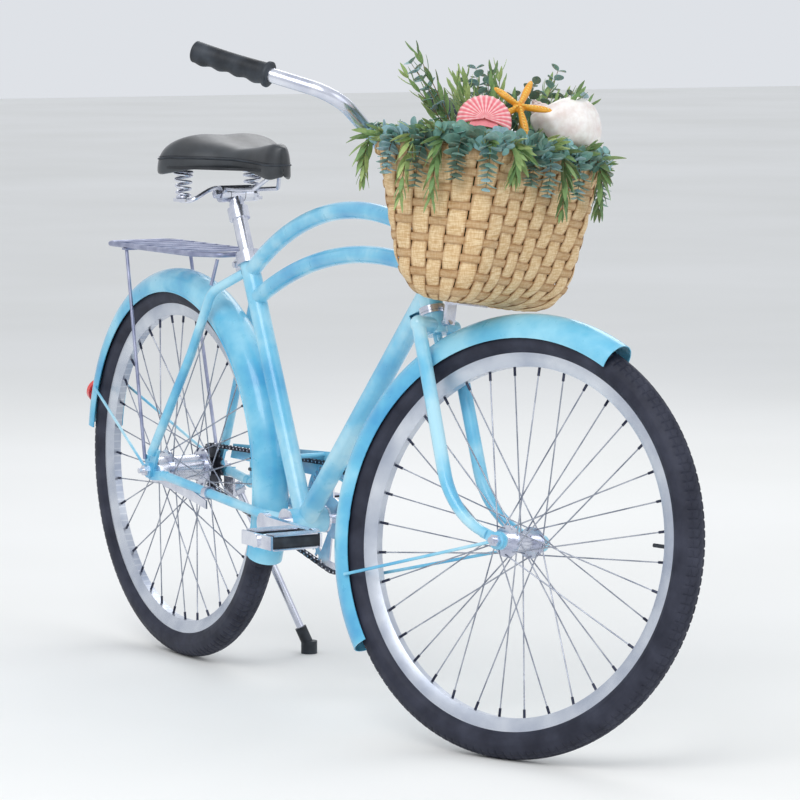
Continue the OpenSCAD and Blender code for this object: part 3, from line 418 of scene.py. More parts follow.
dress(PAINT, "frame_tubes", "rear_stays", "fork", "rear_fender_stays", "front_fender_stays")
dress(FENDER_PAINT, "rear_fender", "front_fender", "chain_guard")
dress(CHROME, "seat_collar", "headset_cups", "headset_races", "bracket_cups", "rear_axle", "front_axle",
      "coaster_arm", "kickstand_bracket", "kickstand_leg", "seat_post", "saddle_clamp", "rail_clamps", "saddle_rails",
      "stem", "handlebar", "basket_bracket", "crank_axle", "crank_arms", "chainring", "pedal_spindles",
      "pedal_left", "pedal_right", "front_hub", "rear_hub")
dress(RACK, "rack_deck", "rack_struts")
dress(alloy_rim("rear_rim_alloy", REAR_AXLE), "rear_rim")
dress(alloy_rim("front_rim_alloy", FRONT_AXLE), "front_rim")
dress(SPOKE, "front_spokes", "rear_spokes")
dress(NIPPLE, "front_nipples", "rear_nipples")
dress(DARK, "sprocket")
dress(BLACK, "kickstand_foot", "front_valve", "rear_valve")
dress(rubber("saddle_shell", rgb(58, 60, 64), rgb(24, 26, 30)), "saddle_base")
dress(lens("reflector_lens"), "rear_reflector")
dress(metal("pick_wood", rgb(190, 160, 112), rgb(140, 108, 66), (0.6, 0.8)), "shell_picks")


# ---------------------------------------------------------------- tyres
GROOVE = 1.7 * MM
AROUND = 864
LUG_STEPS = 6


def tyre(name, node, body, turned):
    """A balloon tyre: centre rib, zigzag grooves, shoulder lugs, ribbed sidewalls and open beads."""
    low, high = ends(node, turned)
    centre = (low + high) / 2
    half = (high[1] - low[1]) / 2
    middle = (high[2] - low[2]) / 2 - half
    wall = 3.4 * MM
    bead = math.radians(144)
    phi = np.linspace(-bead, bead, 53)
    degrees = np.abs(np.degrees(phi))
    rings = []
    for k in range(AROUND):
        step = k % LUG_STEPS
        zigzag = 13 + 2.5 * (1 if step < LUG_STEPS / 2 else -1)
        depth = np.where(np.abs(degrees - zigzag) < 3, GROOVE, 0.0)
        depth = np.maximum(depth, np.where((degrees > 20) & (degrees < 56) & (step == 0), GROOVE, 0.0))
        depth = np.maximum(depth, np.where((degrees > 36) & (degrees < 42), GROOVE * 0.8, 0.0))
        depth = np.maximum(depth, np.where(degrees > 60, 0.9 * MM, 0.0))
        depth -= np.where(np.abs(degrees - 84) < 3, 0.5 * MM, 0.0) + np.where(np.abs(degrees - 118) < 3, 0.6 * MM, 0.0)
        r = np.concatenate([half - depth, np.full(13, half - wall)])
        around = np.concatenate([phi, np.linspace(bead, -bead, 13)])
        a = k * TAU / AROUND
        out = middle + r * np.cos(around)
        rings.append(centre + np.stack([out * math.cos(a), r * np.sin(around), out * math.sin(a)], 1))
    piece = Shape().add(loft(rings, closed=True)).piece(name, body, "tyre_rubber", TYRE, turned)
    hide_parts(node)


tyre("rear_tyre_tread", "rear_tyre", "rear_wheel", False)
tyre("front_tyre_tread", "front_tyre", "front_wheel", True)


# ---------------------------------------------------------------- grips
GRIP_WAY = unit([-232, 62, 48])
BAR_R = 11.2 * MM


def grip(name, node, side):
    """A moulded grip: four finger bumps below, fine ribs round it, a flange and a rounded end."""
    way = GRIP_WAY * [1, side, 1]
    co = corners(node, True)
    along = co @ way
    tip = co[along > along.max() - 0.2 * MM].mean(0)
    length = along.max() - along.min()
    down = unit(-Z + (Z @ way) * way)
    across = np.cross(way, down)
    a = np.arange(40) * TAU / 40
    low = np.maximum(0, np.cos(a)) ** 1.5
    dome = [(4.6 * (1 - math.cos(t)), 0.0168 * math.sin(t)) for t in np.linspace(0.15, math.pi / 2, 7)]
    rings = [tip - way * back * MM + max(r, 0.0004) * (np.cos(a)[:, None] * down + np.sin(a)[:, None] * across)
             for back, r in [(0, 0.0006)] + dome]
    for t in np.linspace(0, 1, 72):
        back = 5 * MM + t * (length - 15 * MM)
        bump = 2.8 * MM * (0.5 - 0.5 * math.cos(TAU * 4 * t)) * low
        rib = 0.22 * MM * math.cos(TAU * 28 * t) * (1 - low)
        r = 15.2 * MM + 1.4 * MM * (1 - math.sin(math.pi * t)) + bump + rib
        rings.append(tip - way * back + r[:, None] * (np.cos(a)[:, None] * down + np.sin(a)[:, None] * across))
    for back, r in ((length - 9 * MM, 17), (length - 8 * MM, 19.4), (length - 6 * MM, 20), (length - 3 * MM, 20),
                    (length - 2 * MM, 19), (length - 1 * MM, 16), (length - 0.5 * MM, 11.3), (6 * MM, 11.3), (6 * MM, 0.5)):
        rings.append(tip - way * back + r * MM * (np.cos(a)[:, None] * down + np.sin(a)[:, None] * across))
    piece = Shape().add(loft(rings)).piece(name, "steering", "black_rubber", BLACK, True, sharp=50)
    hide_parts(node)


grip("grip_left_moulded", "grip_left", 1)
grip("grip_right_moulded", "grip_right", -1)


# ---------------------------------------------------------------- saddle
def blend_curve(s, *knots):
    """A smooth value at s through (place, value) knots."""
    x, y = zip(*knots)
    fine = np.linspace(0, 1, 201)
    linear = np.interp(fine, x, y)
    kernel = np.hanning(23)
    soft = np.convolve(np.pad(linear, 11, mode="edge"), kernel / kernel.sum(), "valid")
    return float(np.interp(s, fine, soft))


def saddle():
    """A wide sprung saddle's cover: a crowned shell with a rolled hem, lofted from tail to nose."""
    low, high = ends("saddle_cover")
    length = high[0] - low[0]
    wide = (high[1] - low[1]) / 2
    floor = ends("saddle_base")[1][2]

    def half_width(s):
        body = blend_curve(s, (0, 0.97), (0.22, 1.0), (0.38, 0.82), (0.55, 0.46), (0.72, 0.27), (0.9, 0.21), (1, 0.19))
        tail = math.sqrt(max(0.0, 1 - (1 - min(1, s / 0.2)) ** 2.3))
        nose = math.sqrt(max(0.0, 1 - max(0, (s - 0.9) / 0.1) ** 2.2))
        return wide * body * tail * nose

    def top(s):
        return low[2] + MM * blend_curve(s, (0, 46), (0.08, 62), (0.24, 72), (0.42, 60), (0.6, 50), (0.8, 55), (0.95, 61), (1, 52))

    def hem(s):
        return low[2] + MM * blend_curve(s, (0, 7), (0.2, 2), (0.42, 13), (0.62, 18), (0.8, 8), (0.95, -2), (1, 6))

    theta = np.linspace(0, math.pi, 33)
    rings, seam_left, seam_right = [], [], []
    stations = [0.5 - 0.5 * math.cos(math.pi * t) for t in np.linspace(0.035, 0.975, 46)]
    for s in stations:
        w, z1, z0 = half_width(s), top(s), hem(s)
        x = low[0] + s * length
        y = w * np.sign(np.cos(theta)) * np.abs(np.cos(theta)) ** 0.62
        groove = 3.5 * MM * np.exp(-((y / (0.17 * wide)) ** 2)) * blend_curve(s, (0, 0), (0.15, 1), (0.6, 1), (0.8, 0), (1, 0))
        z = z0 + (z1 - z0) * np.sin(theta) ** 0.72 - groove
        tuck = max(0.0, w - 9 * MM)
        inner = max(0.0, w - 5 * MM)
        roof = max(z0 + 4 * MM, min(floor + 0.4 * MM, z1 - 8 * MM))
        under = np.array([[-tuck, z0 + 1.2 * MM], [-inner, z0 + 3 * MM], [-inner, roof], [0, roof],
                          [inner, roof], [inner, z0 + 3 * MM], [tuck, z0 + 1.2 * MM]])
        ring = np.concatenate([np.stack([y, z], 1), under])
        rings.append(np.stack([np.full(len(ring), x), ring[:, 0], ring[:, 1]], 1))
        seam_left.append([x, y[3] + 0.3 * MM, z[3]])
        seam_right.append([x, y[-4] - 0.3 * MM, z[-4]])
    cover = Shape().add(loft(rings)).piece("saddle_vinyl_cover", "saddle", "saddle_vinyl", VINYL, subdivide=1, sharp=60)
    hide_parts("saddle_cover")
    piping = Shape()
    loop = np.array(seam_left + seam_right[::-1])
    piping.add(sweep(loop, round_section(1.5 * MM, 10), closed=True, side=Z))
    piping.piece("saddle_piping", "saddle", "saddle_vinyl", BLACK)
    stitches = Shape()
    for a, b in zip(loop, np.roll(loop, -1, 0)):
        steps = max(1, round(np.linalg.norm(b - a) / (4 * MM)))
        for k in range(steps):
            at = a + (b - a) * (k + 0.25) / steps + Z * 3.4 * MM
            centre = np.array([loop[:, 0].mean(), 0, at[2]])
            at = at - unit(at - centre) * 0.7 * MM
            stitches.add(sweep([at, at + (b - a) / steps * 0.55], round_section(0.45 * MM, 6), side=Z))
    stitches.piece("saddle_stitching", "saddle", "saddle_vinyl", DARK)


saddle()


def saddle_springs():
    """Two coil springs, wider at the top, with their ends wound flat."""
    low, high = ends("saddle_springs")
    wire = 2.6 * MM
    outer = (high[0] - low[0]) / 2 - wire
    turns = 5.0
    made = Shape()
    for side in (-1, 1):
        centre = np.array([(low[0] + high[0]) / 2, side * (high[1] - outer - wire), low[2]])
        path = []
        for t in np.linspace(0, 1, 200):
            climb = min(1.0, max(0.0, (t - 0.12) / 0.76))
            r = outer * (0.72 + 0.28 * climb)
            a = t * turns * TAU
            path.append(centre + [r * math.cos(a), side * r * math.sin(a), wire + climb * (high[2] - low[2] - 2 * wire)])
        made.add(sweep(path, round_section(wire, 14), side=Z))
    piece = made.piece("saddle_coils", "saddle", "dark_steel", CHROME)
    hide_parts("saddle_springs")


saddle_springs()


# ---------------------------------------------------------------- chain
PITCH = 12.7 * MM
RING_TEETH = 44
SPROCKET_TEETH = 18
LINKS = 100


def chain():
    """Inner and outer plates, rollers and pins along the chain's path round both toothed wheels."""
    rear, front = np.array(REAR_AXLE), np.array(JOINT["crank_spin"]["pos_m"])
    low, high = ends("chain")
    y = (low[1] + high[1]) / 2
    ring_r = PITCH / 2 / math.sin(math.pi / RING_TEETH)
    small_r = PITCH / 2 / math.sin(math.pi / SPROCKET_TEETH)
    base = front - rear
    apart = np.linalg.norm(base)
    lean = math.asin((ring_r - small_r) / apart)
    line = math.atan2(base[2], base[0])
    big = RING_TEETH * (0.25 + lean / TAU)
    small = SPROCKET_TEETH * (0.25 - lean / TAU)

    def pin(k):
        sign = 1 if k <= LINKS / 2 else -1
        k = min(k, LINKS - k)
        if k <= big:
            p = [apart + ring_r * math.cos(k * TAU / RING_TEETH), ring_r * math.sin(k * TAU / RING_TEETH)]
        elif k >= LINKS / 2 - small:
            a = (LINKS / 2 - k) * TAU / SPROCKET_TEETH
            p = [-small_r * math.cos(a), small_r * math.sin(a)]
        else:
            t = (k - big) / (LINKS / 2 - big - small)
            a = np.array([apart - ring_r * math.sin(lean), ring_r * math.cos(lean)])
            p = a + (np.array([-small_r * math.sin(lean), small_r * math.cos(lean)]) - a) * t
        x, z = p[0], sign * p[1]
        return np.array([rear[0] + x * math.cos(line) - z * math.sin(line), 0,
                         rear[2] + x * math.sin(line) + z * math.cos(line)])

    def plate(a, b, near, far, r):
        way = unit(b - a)
        up = np.cross(way, [0, 1, 0])
        outline = []
        for t in np.linspace(0, TAU, 24, endpoint=False):
            end = b if abs(t) < TAU / 4 or t > TAU * 3 / 4 else a
            waist = 1 - 0.22 * abs(math.sin(t)) ** 8
            outline.append(end + r * waist * (math.cos(t) * way + math.sin(t) * up))
        return loft([np.array(outline) + [0, near, 0], np.array(outline) + [0, far, 0]])

    plates, rollers = Shape(), Shape()
    pins = [pin(k) for k in range(LINKS)]
    for k, (a, b) in enumerate(zip(pins, pins[1:] + pins[:1])):
        near, far = (1.8, 2.8) if k % 2 else (2.9, 3.9)
        for side in (-1, 1):
            plates.add(plate(a, b, y + side * near * MM, y + side * far * MM, (4.4 if k % 2 else 4.2) * MM))
        rollers.add(sweep([a + [0, y - 1.7 * MM, 0], a + [0, y + 1.7 * MM, 0]], round_section(3.6 * MM, 18), side=Z))
        rollers.add(sweep([a + [0, y - 4.4 * MM, 0], a + [0, y + 4.4 * MM, 0]], round_section(1.6 * MM, 10), side=Z))
    piece = plates.piece("chain_plates", "frame", "dark_steel", DARK)
    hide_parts("chain")
    rollers.piece("chain_rollers_and_pins", "frame", "dark_steel", CHROME)


chain()


# ---------------------------------------------------------------- basket
STAKES = 28
ROWS = 9
WEAVE = 1.5 * MM
FILL = 0.94
WEAVER_FILL = 0.46
SPLINT_T = 1.5 * MM
BOWL = 52 * MM


class Basket:
    """The basket's surface: u runs round it from 0 to 1 and v up it from 0 to 1, with the bars straight."""

    def __init__(self):
        co = corners("basket", True)
        self.low, self.high = co.min(0), co.max(0)
        foot = co[co[:, 2] < self.low[2] + 1 * MM]
        self.foot_low, self.foot_high = foot.min(0), foot.max(0)
        self.height = self.high[2] - self.low[2]

    def section(self, u, v, inset):
        """Points round one level: a rounded rectangle, drawn in over the bottom's round edge."""
        k = v ** 0.55
        back = self.foot_low[0] + (self.low[0] - self.foot_low[0]) * v ** 0.9 + inset
        front = self.foot_high[0] + (self.high[0] - self.foot_high[0]) * k - inset
        half = self.foot_high[1] + (self.high[1] - self.foot_high[1]) * k - inset
        bowl = BOWL / self.height
        if v < bowl:
            tuck = BOWL * 0.62 * (1 - math.sqrt(1 - (1 - v / bowl) ** 2))
            back, front, half = back + tuck, front - tuck, half - tuck
        depth = front - back
        corner = depth * 0.26
        sides = np.array([2 * (half - corner), depth - 2 * corner] * 2)
        arc = corner * math.pi / 2
        lengths = np.array([x for s in sides for x in (s, arc)])
        at = np.mod(u, 1) * lengths.sum()
        stops = np.concatenate([[0], np.cumsum(lengths)])
        which = np.clip(np.searchsorted(stops, at, side="right") - 1, 0, 7)
        t = (at - stops[which]) / lengths[which]
        x, y = np.empty_like(at), np.empty_like(at)
        spots = [(front, -(half - corner), 0, 1), (front - corner, half - corner, 0, 0), (front - corner, half, -1, 0),
                 (back + corner, half - corner, 0, 0), (back, half - corner, 0, -1), (back + corner, corner - half, 0, 0),
                 (back + corner, -half, 1, 0), (front - corner, corner - half, 0, 0)]
        for i, (px, py, dx, dy) in enumerate(spots):
            m = which == i
            if i % 2 == 0:
                x[m] = px + dx * t[m] * lengths[i]
                y[m] = py + dy * t[m] * lengths[i]
            else:
                a = (i - 1) / 2 * math.pi / 2 + t[m] * math.pi / 2
                x[m] = px + corner * np.cos(a)
                y[m] = py + corner * np.sin(a)
        return np.stack([x, y, np.full_like(at, self.low[2] + v * self.height)], 1)

    def grid(self, us, vs, inset=3 * MM):
        """Points and outward normals over a grid of u and v."""
        p = np.array([self.section(us, v, inset) for v in vs])
        nearby = np.array([self.section(us + 0.002, v, inset) for v in vs])
        above = np.array([self.section(us, min(1.0, v + 0.01), inset) for v in vs])
        below = np.array([self.section(us, max(0.0, v - 0.01), inset) for v in vs])
        n = np.cross(nearby - p, above - below)
        return p, n / np.linalg.norm(n, axis=2)[:, :, None]


def woven_basket():
    basket = Basket()
    across = np.array([-1, -0.82, -0.4, 0, 0.4, 0.82, 1])
    crown = 0.7 * MM * (1 - across ** 2)
    edge = np.clip((np.abs(across) - 0.4) / 0.6, 0, 1)
    made = Shape()
    vs = np.concatenate([[0.0, 0.012, 0.03, 0.055, 0.085], np.linspace(0.12, 0.985, 44)])
    for i in range(STAKES):
        us = i / STAKES + across * FILL / 2 / STAKES
        p, n = basket.grid(us, vs)
        over = WEAVE * (-1) ** i * np.cos(math.pi * (vs * ROWS - 0.5))
        p = p + n * (over[:, None] + crown[None, :])[:, :, None]
        # cross is painted shade: darker where the stake dips under a weaver
        cross = np.clip(-over / WEAVE, 0, 1) * 0.3
        tint = np.clip(edge[None, :] * 0.95 + cross[:, None] + DRAW.uniform(-0.08, 0.08), 0, 1).ravel()
        made.add(ribbon(p, n, SPLINT_T), np.concatenate([tint, tint]))
    around = np.linspace(0, 1, STAKES * 6 + 1)
    for r in range(ROWS):
        vs = (r + 0.5 + across * WEAVER_FILL / 2) / ROWS
        p, n = basket.grid(around, vs)
        over = -WEAVE * (-1) ** r * np.cos(math.pi * around * STAKES)
        p = p + n * (over[None, :] + crown[:, None])[:, :, None]
        # cross is painted shade: darker where the weaver dips under a stake
        cross = np.clip(-over / WEAVE, 0, 1) * 0.3
        tint = np.clip(0.7 + edge[:, None] * 0.2 + cross[None, :] + DRAW.uniform(-0.06, 0.06), 0, 1).ravel()
        made.add(ribbon(p, n, SPLINT_T), np.concatenate([tint, tint]))
    x0, x1 = basket.foot_low[0] + 28 * MM, basket.foot_high[0] - 28 * MM
    y1 = basket.foot_high[1] - 28 * MM
    bottom = basket.low[2] + 3 * MM
    for count, along, span, reach in ((4, 1, (x0, x1), y1), (8, 0, (-y1, y1), (x1 - x0) / 2)):
        other = 8 if along else 4
        for i in range(count):
            width = (span[1] - span[0]) / count
            mid = span[0] + (i + 0.5) * width
            t = np.linspace(-1, 1, other * 6 + 1)
            over = WEAVE * (-1) ** (i + along) * np.cos(math.pi * ((t + 1) / 2 * other - 0.5))
            lane = mid + across * width * FILL / 2
            g = np.zeros((len(t), len(across), 3))
            g[:, :, 0] = lane[None, :] if along else (x0 + x1) / 2 + t[:, None] * reach
            g[:, :, 1] = t[:, None] * reach if along else lane[None, :]
            g[:, :, 2] = bottom + over[:, None]
            tint = np.tile(edge, len(t)) * 0.9
            made.add(ribbon(g, np.broadcast_to(Z, g.shape), SPLINT_T), np.concatenate([tint, tint]))
    piece = made.piece("woven_basket", "steering", "wicker", SPLINT, True, sharp=50)
    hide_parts("basket")
    rim = Shape()
    us = np.linspace(0, 1, 144, endpoint=False)
    p, n = basket.grid(us, [0.955])
    for out, tall in ((4.0, 17), (-4.0, 17)):
        rim.add(sweep(p[0] + n[0] * out * MM, flat_section(2.4 * MM, tall * MM), closed=True, side=n[0]), 0.72)
    top, n = basket.grid(us, [0.992])
    rim.add(sweep(top[0], round_section(3.4 * MM, 12), closed=True, side=Z), 0.8)
    wraps = 60
    t = np.linspace(0, 1, wraps * 16, endpoint=False)
    p, n = basket.grid(t, [0.962])
    a = t * wraps * TAU
    loop = p[0] + n[0] * (6.6 * MM * np.cos(a))[:, None] + Z * (12 * MM * np.sin(a))[:, None]
    rim.add(sweep(loop, flat_section(6 * MM, 1.1 * MM), closed=True,
                  side=np.cross(np.roll(loop, -1, 0) - loop, n[0] * np.cos(a)[:, None] + Z * np.sin(a)[:, None])), 0.62)
    rim.piece("basket_rim", "steering", "wicker", SPLINT, True, sharp=50)
    return basket


BASKET = woven_basket()


def straps():
    """Leather straps round the bar and down the basket's back, each with a small buckle and stitching."""
    co = corners("basket_straps", True)
    low, high = co.min(0), co.max(0)
    bar = np.array([low[0] + 13.6 * MM, 0, 0])
    leathers, buckles, threads = Shape(), Shape(), Shape()
    width, thick = 16 * MM, 2.4 * MM
    round_z = ends("handlebar", True)[0][2] + BAR_R
    reach = BAR_R + thick / 2 + 0.2 * MM
    for side in (-1, 1):
        y = side * (high[1] - width / 2)
        a = np.linspace(math.radians(20), math.radians(340), 40)
        loop = [[bar[0] + reach * math.cos(t), y, round_z + reach * math.sin(t)] for t in a]
        back = high[0] - thick / 2 - 0.2 * MM
        down = [[back - 4 * MM, y, round_z - 4 * MM], [back, y, round_z - 9 * MM], [back, y, round_z - 30 * MM]]
        up = [[back, y, round_z + 16 * MM], [back, y, round_z + 8 * MM], [back - 5 * MM, y, round_z + 4.6 * MM]]
        path = np.array(up + loop + down)
        leathers.add(sweep(path, flat_section(width, thick), side=[0, 1, 0]))
        at = np.array([bar[0], y, round_z + reach + 2.2 * MM])
        frame_path = [at + [dx * 9 * MM, dy * 11 * MM, 0] for dx, dy in ((-1, -1), (1, -1), (1, 1), (-1, 1))]
        for p, q in zip(frame_path, frame_path[1:] + frame_path[:1]):
            buckles.add(sweep([p, q], round_section(1.3 * MM, 10), side=Z))
        buckles.add(sweep([at, at + [11 * MM, 0, 0.6 * MM]], round_section(1 * MM, 8), side=Z))
        for dy in (-1, 1):
            for k in range(2, len(loop) - 2, 2):
                p, q = np.array(loop[k]), np.array(loop[k + 1])
                out = unit(p - [bar[0], y, round_z]) * thick * 0.52
                threads.add(sweep([p + out + [0, dy * 6 * MM, 0], p + out + (q - p) * 0.9 + [0, dy * 6 * MM, 0]],
                                  round_section(0.4 * MM, 6), side=[0, 1, 0]))
    piece = leathers.piece("leather_straps", "steering", "strap_leather", leather("strap_leather"), True)
    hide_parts("basket_straps")
    buckles.piece("strap_buckles", "steering", "bright_steel", CHROME, True)
    threads.piece("strap_stitching", "steering", "strap_leather", SPLINT, True)


straps()


# ---------------------------------------------------------------- pedals
def pedal_blocks(name, node, body):
    """Two rubber tread blocks with raised bars of pale metal across them."""
    low, high = ends(node)
    rubber_part, bars = Shape(), Shape()
    middle = (low + high) / 2
    length = (high[0] - low[0])
    block = 31 * MM
    for end in (-1, 1):
        x = middle[0] + end * (length - block) / 2
        path = [[x, low[1], middle[2]], [x, low[1] + 2 * MM, middle[2]], [x, high[1] - 2 * MM, middle[2]], [x, high[1], middle[2]]]
        section = flat_section(block, (high[2] - low[2]) - 5 * MM)
        rubber_part.add(sweep(path, section, scale=[0.93, 1, 1, 0.93], side=[1, 0, 0]))
        for face in (-1, 1):
            for k in (-1.5, -0.5, 0.5, 1.5):
                z = middle[2] + face * ((high[2] - low[2]) / 2 - 2.2 * MM)
                at = [x + k * 7.6 * MM, 0, z]
                bars.add(sweep([[at[0], low[1] + 3 * MM, z], [at[0], high[1] - 3 * MM, z]],
                               flat_section(5 * MM, 4 * MM), side=[1, 0, 0]))
    piece = rubber_part.piece(name, body, "black_rubber", BLACK)
    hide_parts(node)
    bars.piece(name + "_bars", body, "bright_steel", CHROME)


pedal_blocks("pedal_left_rubber", "pedal_left_treads", "pedal_left")
pedal_blocks("pedal_right_rubber", "pedal_right_treads", "pedal_right")


# ---------------------------------------------------------------- rolled fender edges
def fender_beads(name, node, axle, body, turned):
    """A rolled bead along both edges of a fender, following the sheet's own rim."""
    co = corners(node, turned)
    centre = turn([axle], -STEER_REST)[0] if turned else np.array(axle)
    from_axle = co - centre
    r = np.hypot(from_axle[:, 0], from_axle[:, 2])
    wide = np.abs(from_axle[:, 1]).max()
    edge = (np.abs(from_axle[:, 1]) > wide * 0.9) & (r < r.max())
    rim = r[edge].min()
    angles = np.unwrap(np.sort(np.arctan2(from_axle[edge][:, 2], from_axle[edge][:, 0])))
    side_y = np.abs(from_axle[edge][:, 1]).mean()
    gaps = np.diff(np.concatenate([angles, [angles[0] + TAU]]))
    start = angles[(np.argmax(gaps) + 1) % len(angles)]
    span = TAU - gaps.max()
    made = Shape()
    for side in (-1, 1):
        a = start + np.linspace(0, 1, 120) * span
        path = centre + np.stack([(rim + 0.4 * MM) * np.cos(a), np.full(120, side * side_y), (rim + 0.4 * MM) * np.sin(a)], 1)
        made.add(sweep(path, round_section(1.7 * MM, 10), side=[0, 1, 0]))
    made.piece(name, body, "fender_paint", FENDER_PAINT, turned)


fender_beads("rear_fender_beads", "rear_fender", REAR_AXLE, "frame", False)
fender_beads("front_fender_beads", "front_fender", FRONT_AXLE, "steering", True)


# ---------------------------------------------------------------- arrangement
EUCALYPTUS = leaf_skin("eucalyptus", rgb(70, 112, 98), rgb(118, 168, 156), rgb(160, 200, 214))
WILLOW = leaf_skin("willow", rgb(68, 106, 62), rgb(120, 158, 96), rgb(178, 198, 124))
STEM = leaf_skin("stem", rgb(92, 68, 46), rgb(124, 98, 66), rgb(140, 136, 92))
FOAM_LOW, FOAM_HIGH = ends("flower_foam", True)
FOAM_TOP = FOAM_HIGH[2]
HEART = np.array([(FOAM_LOW[0] + FOAM_HIGH[0]) / 2, 0, FOAM_TOP])
SIDE_REACH = CAD_BOX[1].y + 14 * MM


def moss_block():
    """The foam block under a skin of moss, its top humped."""
    n = 26
    size = (FOAM_HIGH - FOAM_LOW) / 2
    middle = (FOAM_HIGH + FOAM_LOW) / 2
    rings = []
    for t in np.linspace(0, 1, 22):
        z = -1 + 2 * min(1.0, t / 0.72)
        shrink = 1 if t < 0.72 else math.cos((t - 0.72) / 0.28 * math.pi / 2 * 0.96)
        a = np.arange(4 * n) * TAU / (4 * n)
        k = 1 / np.maximum(np.abs(np.cos(a)), np.abs(np.sin(a))) ** 0.86
        rough = np.array([1 - 0.05 * DRAW.random() for _ in a])
        lift = 0 if t < 0.72 else 12 * MM * math.sin((t - 0.72) / 0.28 * math.pi / 2)
        around = 0.95 * k * shrink * rough
        ring = np.stack([size[0] * around * np.cos(a), size[1] * around * np.sin(a),
                         np.full(len(a), size[2] * z + lift)], 1)
        rings.append(middle + ring.clip([-size[0], -size[1], -1], [size[0], size[1], 1]))
    piece = Shape().add(loft(rings)).piece("moss_block", "arrangement", "foam", moss("foam"), True, sharp=80)
    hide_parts("flower_foam")


def leaf(base, way, up, length, width, power, curl):
    """One leaf, folded along its rib and curled to its tip, and smaller where it would pass SIDE_REACH."""
    root, tip = turn([base, base + way * length])[:, 1]
    if tip > max(root, SIDE_REACH):
        fit = max(0.45, (SIDE_REACH - root) / (tip - root))
        length, width = length * fit, width * fit
    t = np.linspace(0, 1, 7)
    side = unit(np.cross(way, up))
    up = np.cross(side, way)
    bow = np.maximum(np.sin(math.pi * np.minimum(t, 0.985)), 0.0)
    spread = width / 2 * (bow ** power * 0.97 + 0.03)
    rib = base + way * length * t[:, None] - up * (curl * length * t ** 2)[:, None]
    grid = np.stack([rib + side * (w * spread)[:, None] + up * (0.16 * abs(w) * spread)[:, None]
                     for w in (-1, 0, 1)], 1)
    normals = np.broadcast_to(up, grid.shape)
    return ribbon(grid, normals, 0.45 * MM)


def smooth_path(points, count=22):
    """A smooth curve through a few points."""
    p = np.array([2 * points[0] - points[1]] + list(points) + [2 * points[-1] - points[-2]])
    out = []
    for k in np.linspace(0, len(points) - 1.0001, count):
        i, t = int(k), k - int(k)
        a, b, c, d = p[i], p[i + 1], p[i + 2], p[i + 3]
        out.append(0.5 * (2 * b + (c - a) * t + (2 * a - 5 * b + 4 * c - d) * t ** 2
                          + (3 * b - a - 3 * c + d) * t ** 3))
    return np.array(out)


def spray(leaves, stems, path, first, pairs, kind, size):
    """A stem along a path, with turned pairs of leaves from the share first to its end."""
    taper = 1 - 0.6 * np.linspace(0, 1, len(path))
    stems.add(sweep(path, round_section(1.3 * MM, 6), scale=taper), DRAW.uniform(0.2, 0.8))
    tone, turn_by = DRAW.uniform(0.15, 0.85), DRAW.uniform(0, TAU)
    for k in range(pairs):
        t = first + (0.995 - first) * k / (pairs - 1)
        i = min(len(path) - 2, int(t * (len(path) - 1)))
        at = path[i] + (path[i + 1] - path[i]) * (t * (len(path) - 1) - i)
        along = unit(path[i + 1] - path[i])
        side = unit(np.cross(along, [0.31, 0.17, 0.93]))
        other = np.cross(along, side)
        shrink = 1.1 - 0.5 * (t - first) / (1 - first)
        for half in (0, 1):
            a = turn_by + k * 1.35 + half * math.pi
            out = math.cos(a) * side + math.sin(a) * other
            tint = min(1, max(0, tone + DRAW.uniform(-0.3, 0.3)))
            long = size * shrink * DRAW.uniform(0.85, 1.15)
            if kind == "round":
                leaves.add(leaf(at, unit(out + 0.5 * along), along, long, long * 0.9, 0.55, 0.12), tint)
            else:
                leaves.add(leaf(at, unit(out * 0.6 + along), out, long * 1.7, long * 0.38, 0.8, 0.18), tint)


# The way round the arrangement that its shells face, where the upright sprays leave a gap
VIEW_SIDE = math.radians(-54)


UPRIGHT_SPRAYS = 30
RUFF_SPRAYS = 46
HEART_LEAVES = 170
# Each hanging spray: the way round in degrees, its fall and lean in mm, and its kind of leaf
HANGING_SPRAYS = ((-78, 78, 8, "long"), (-64, 46, 4, "round"), (-50, 58, 2, "round"), (-38, 34, 2, "long"),
                  (-92, 62, 10, "round"), (-104, 84, 12, "long"), (-26, 40, 2, "round"), (-10, 52, 4, "round"),
                  (4, 70, 8, "long"), (18, 48, 6, "round"), (-118, 44, 8, "round"), (36, 58, 8, "long"),
                  (60, 44, 6, "round"), (84, 62, 6, "long"), (-140, 50, 6, "long"))


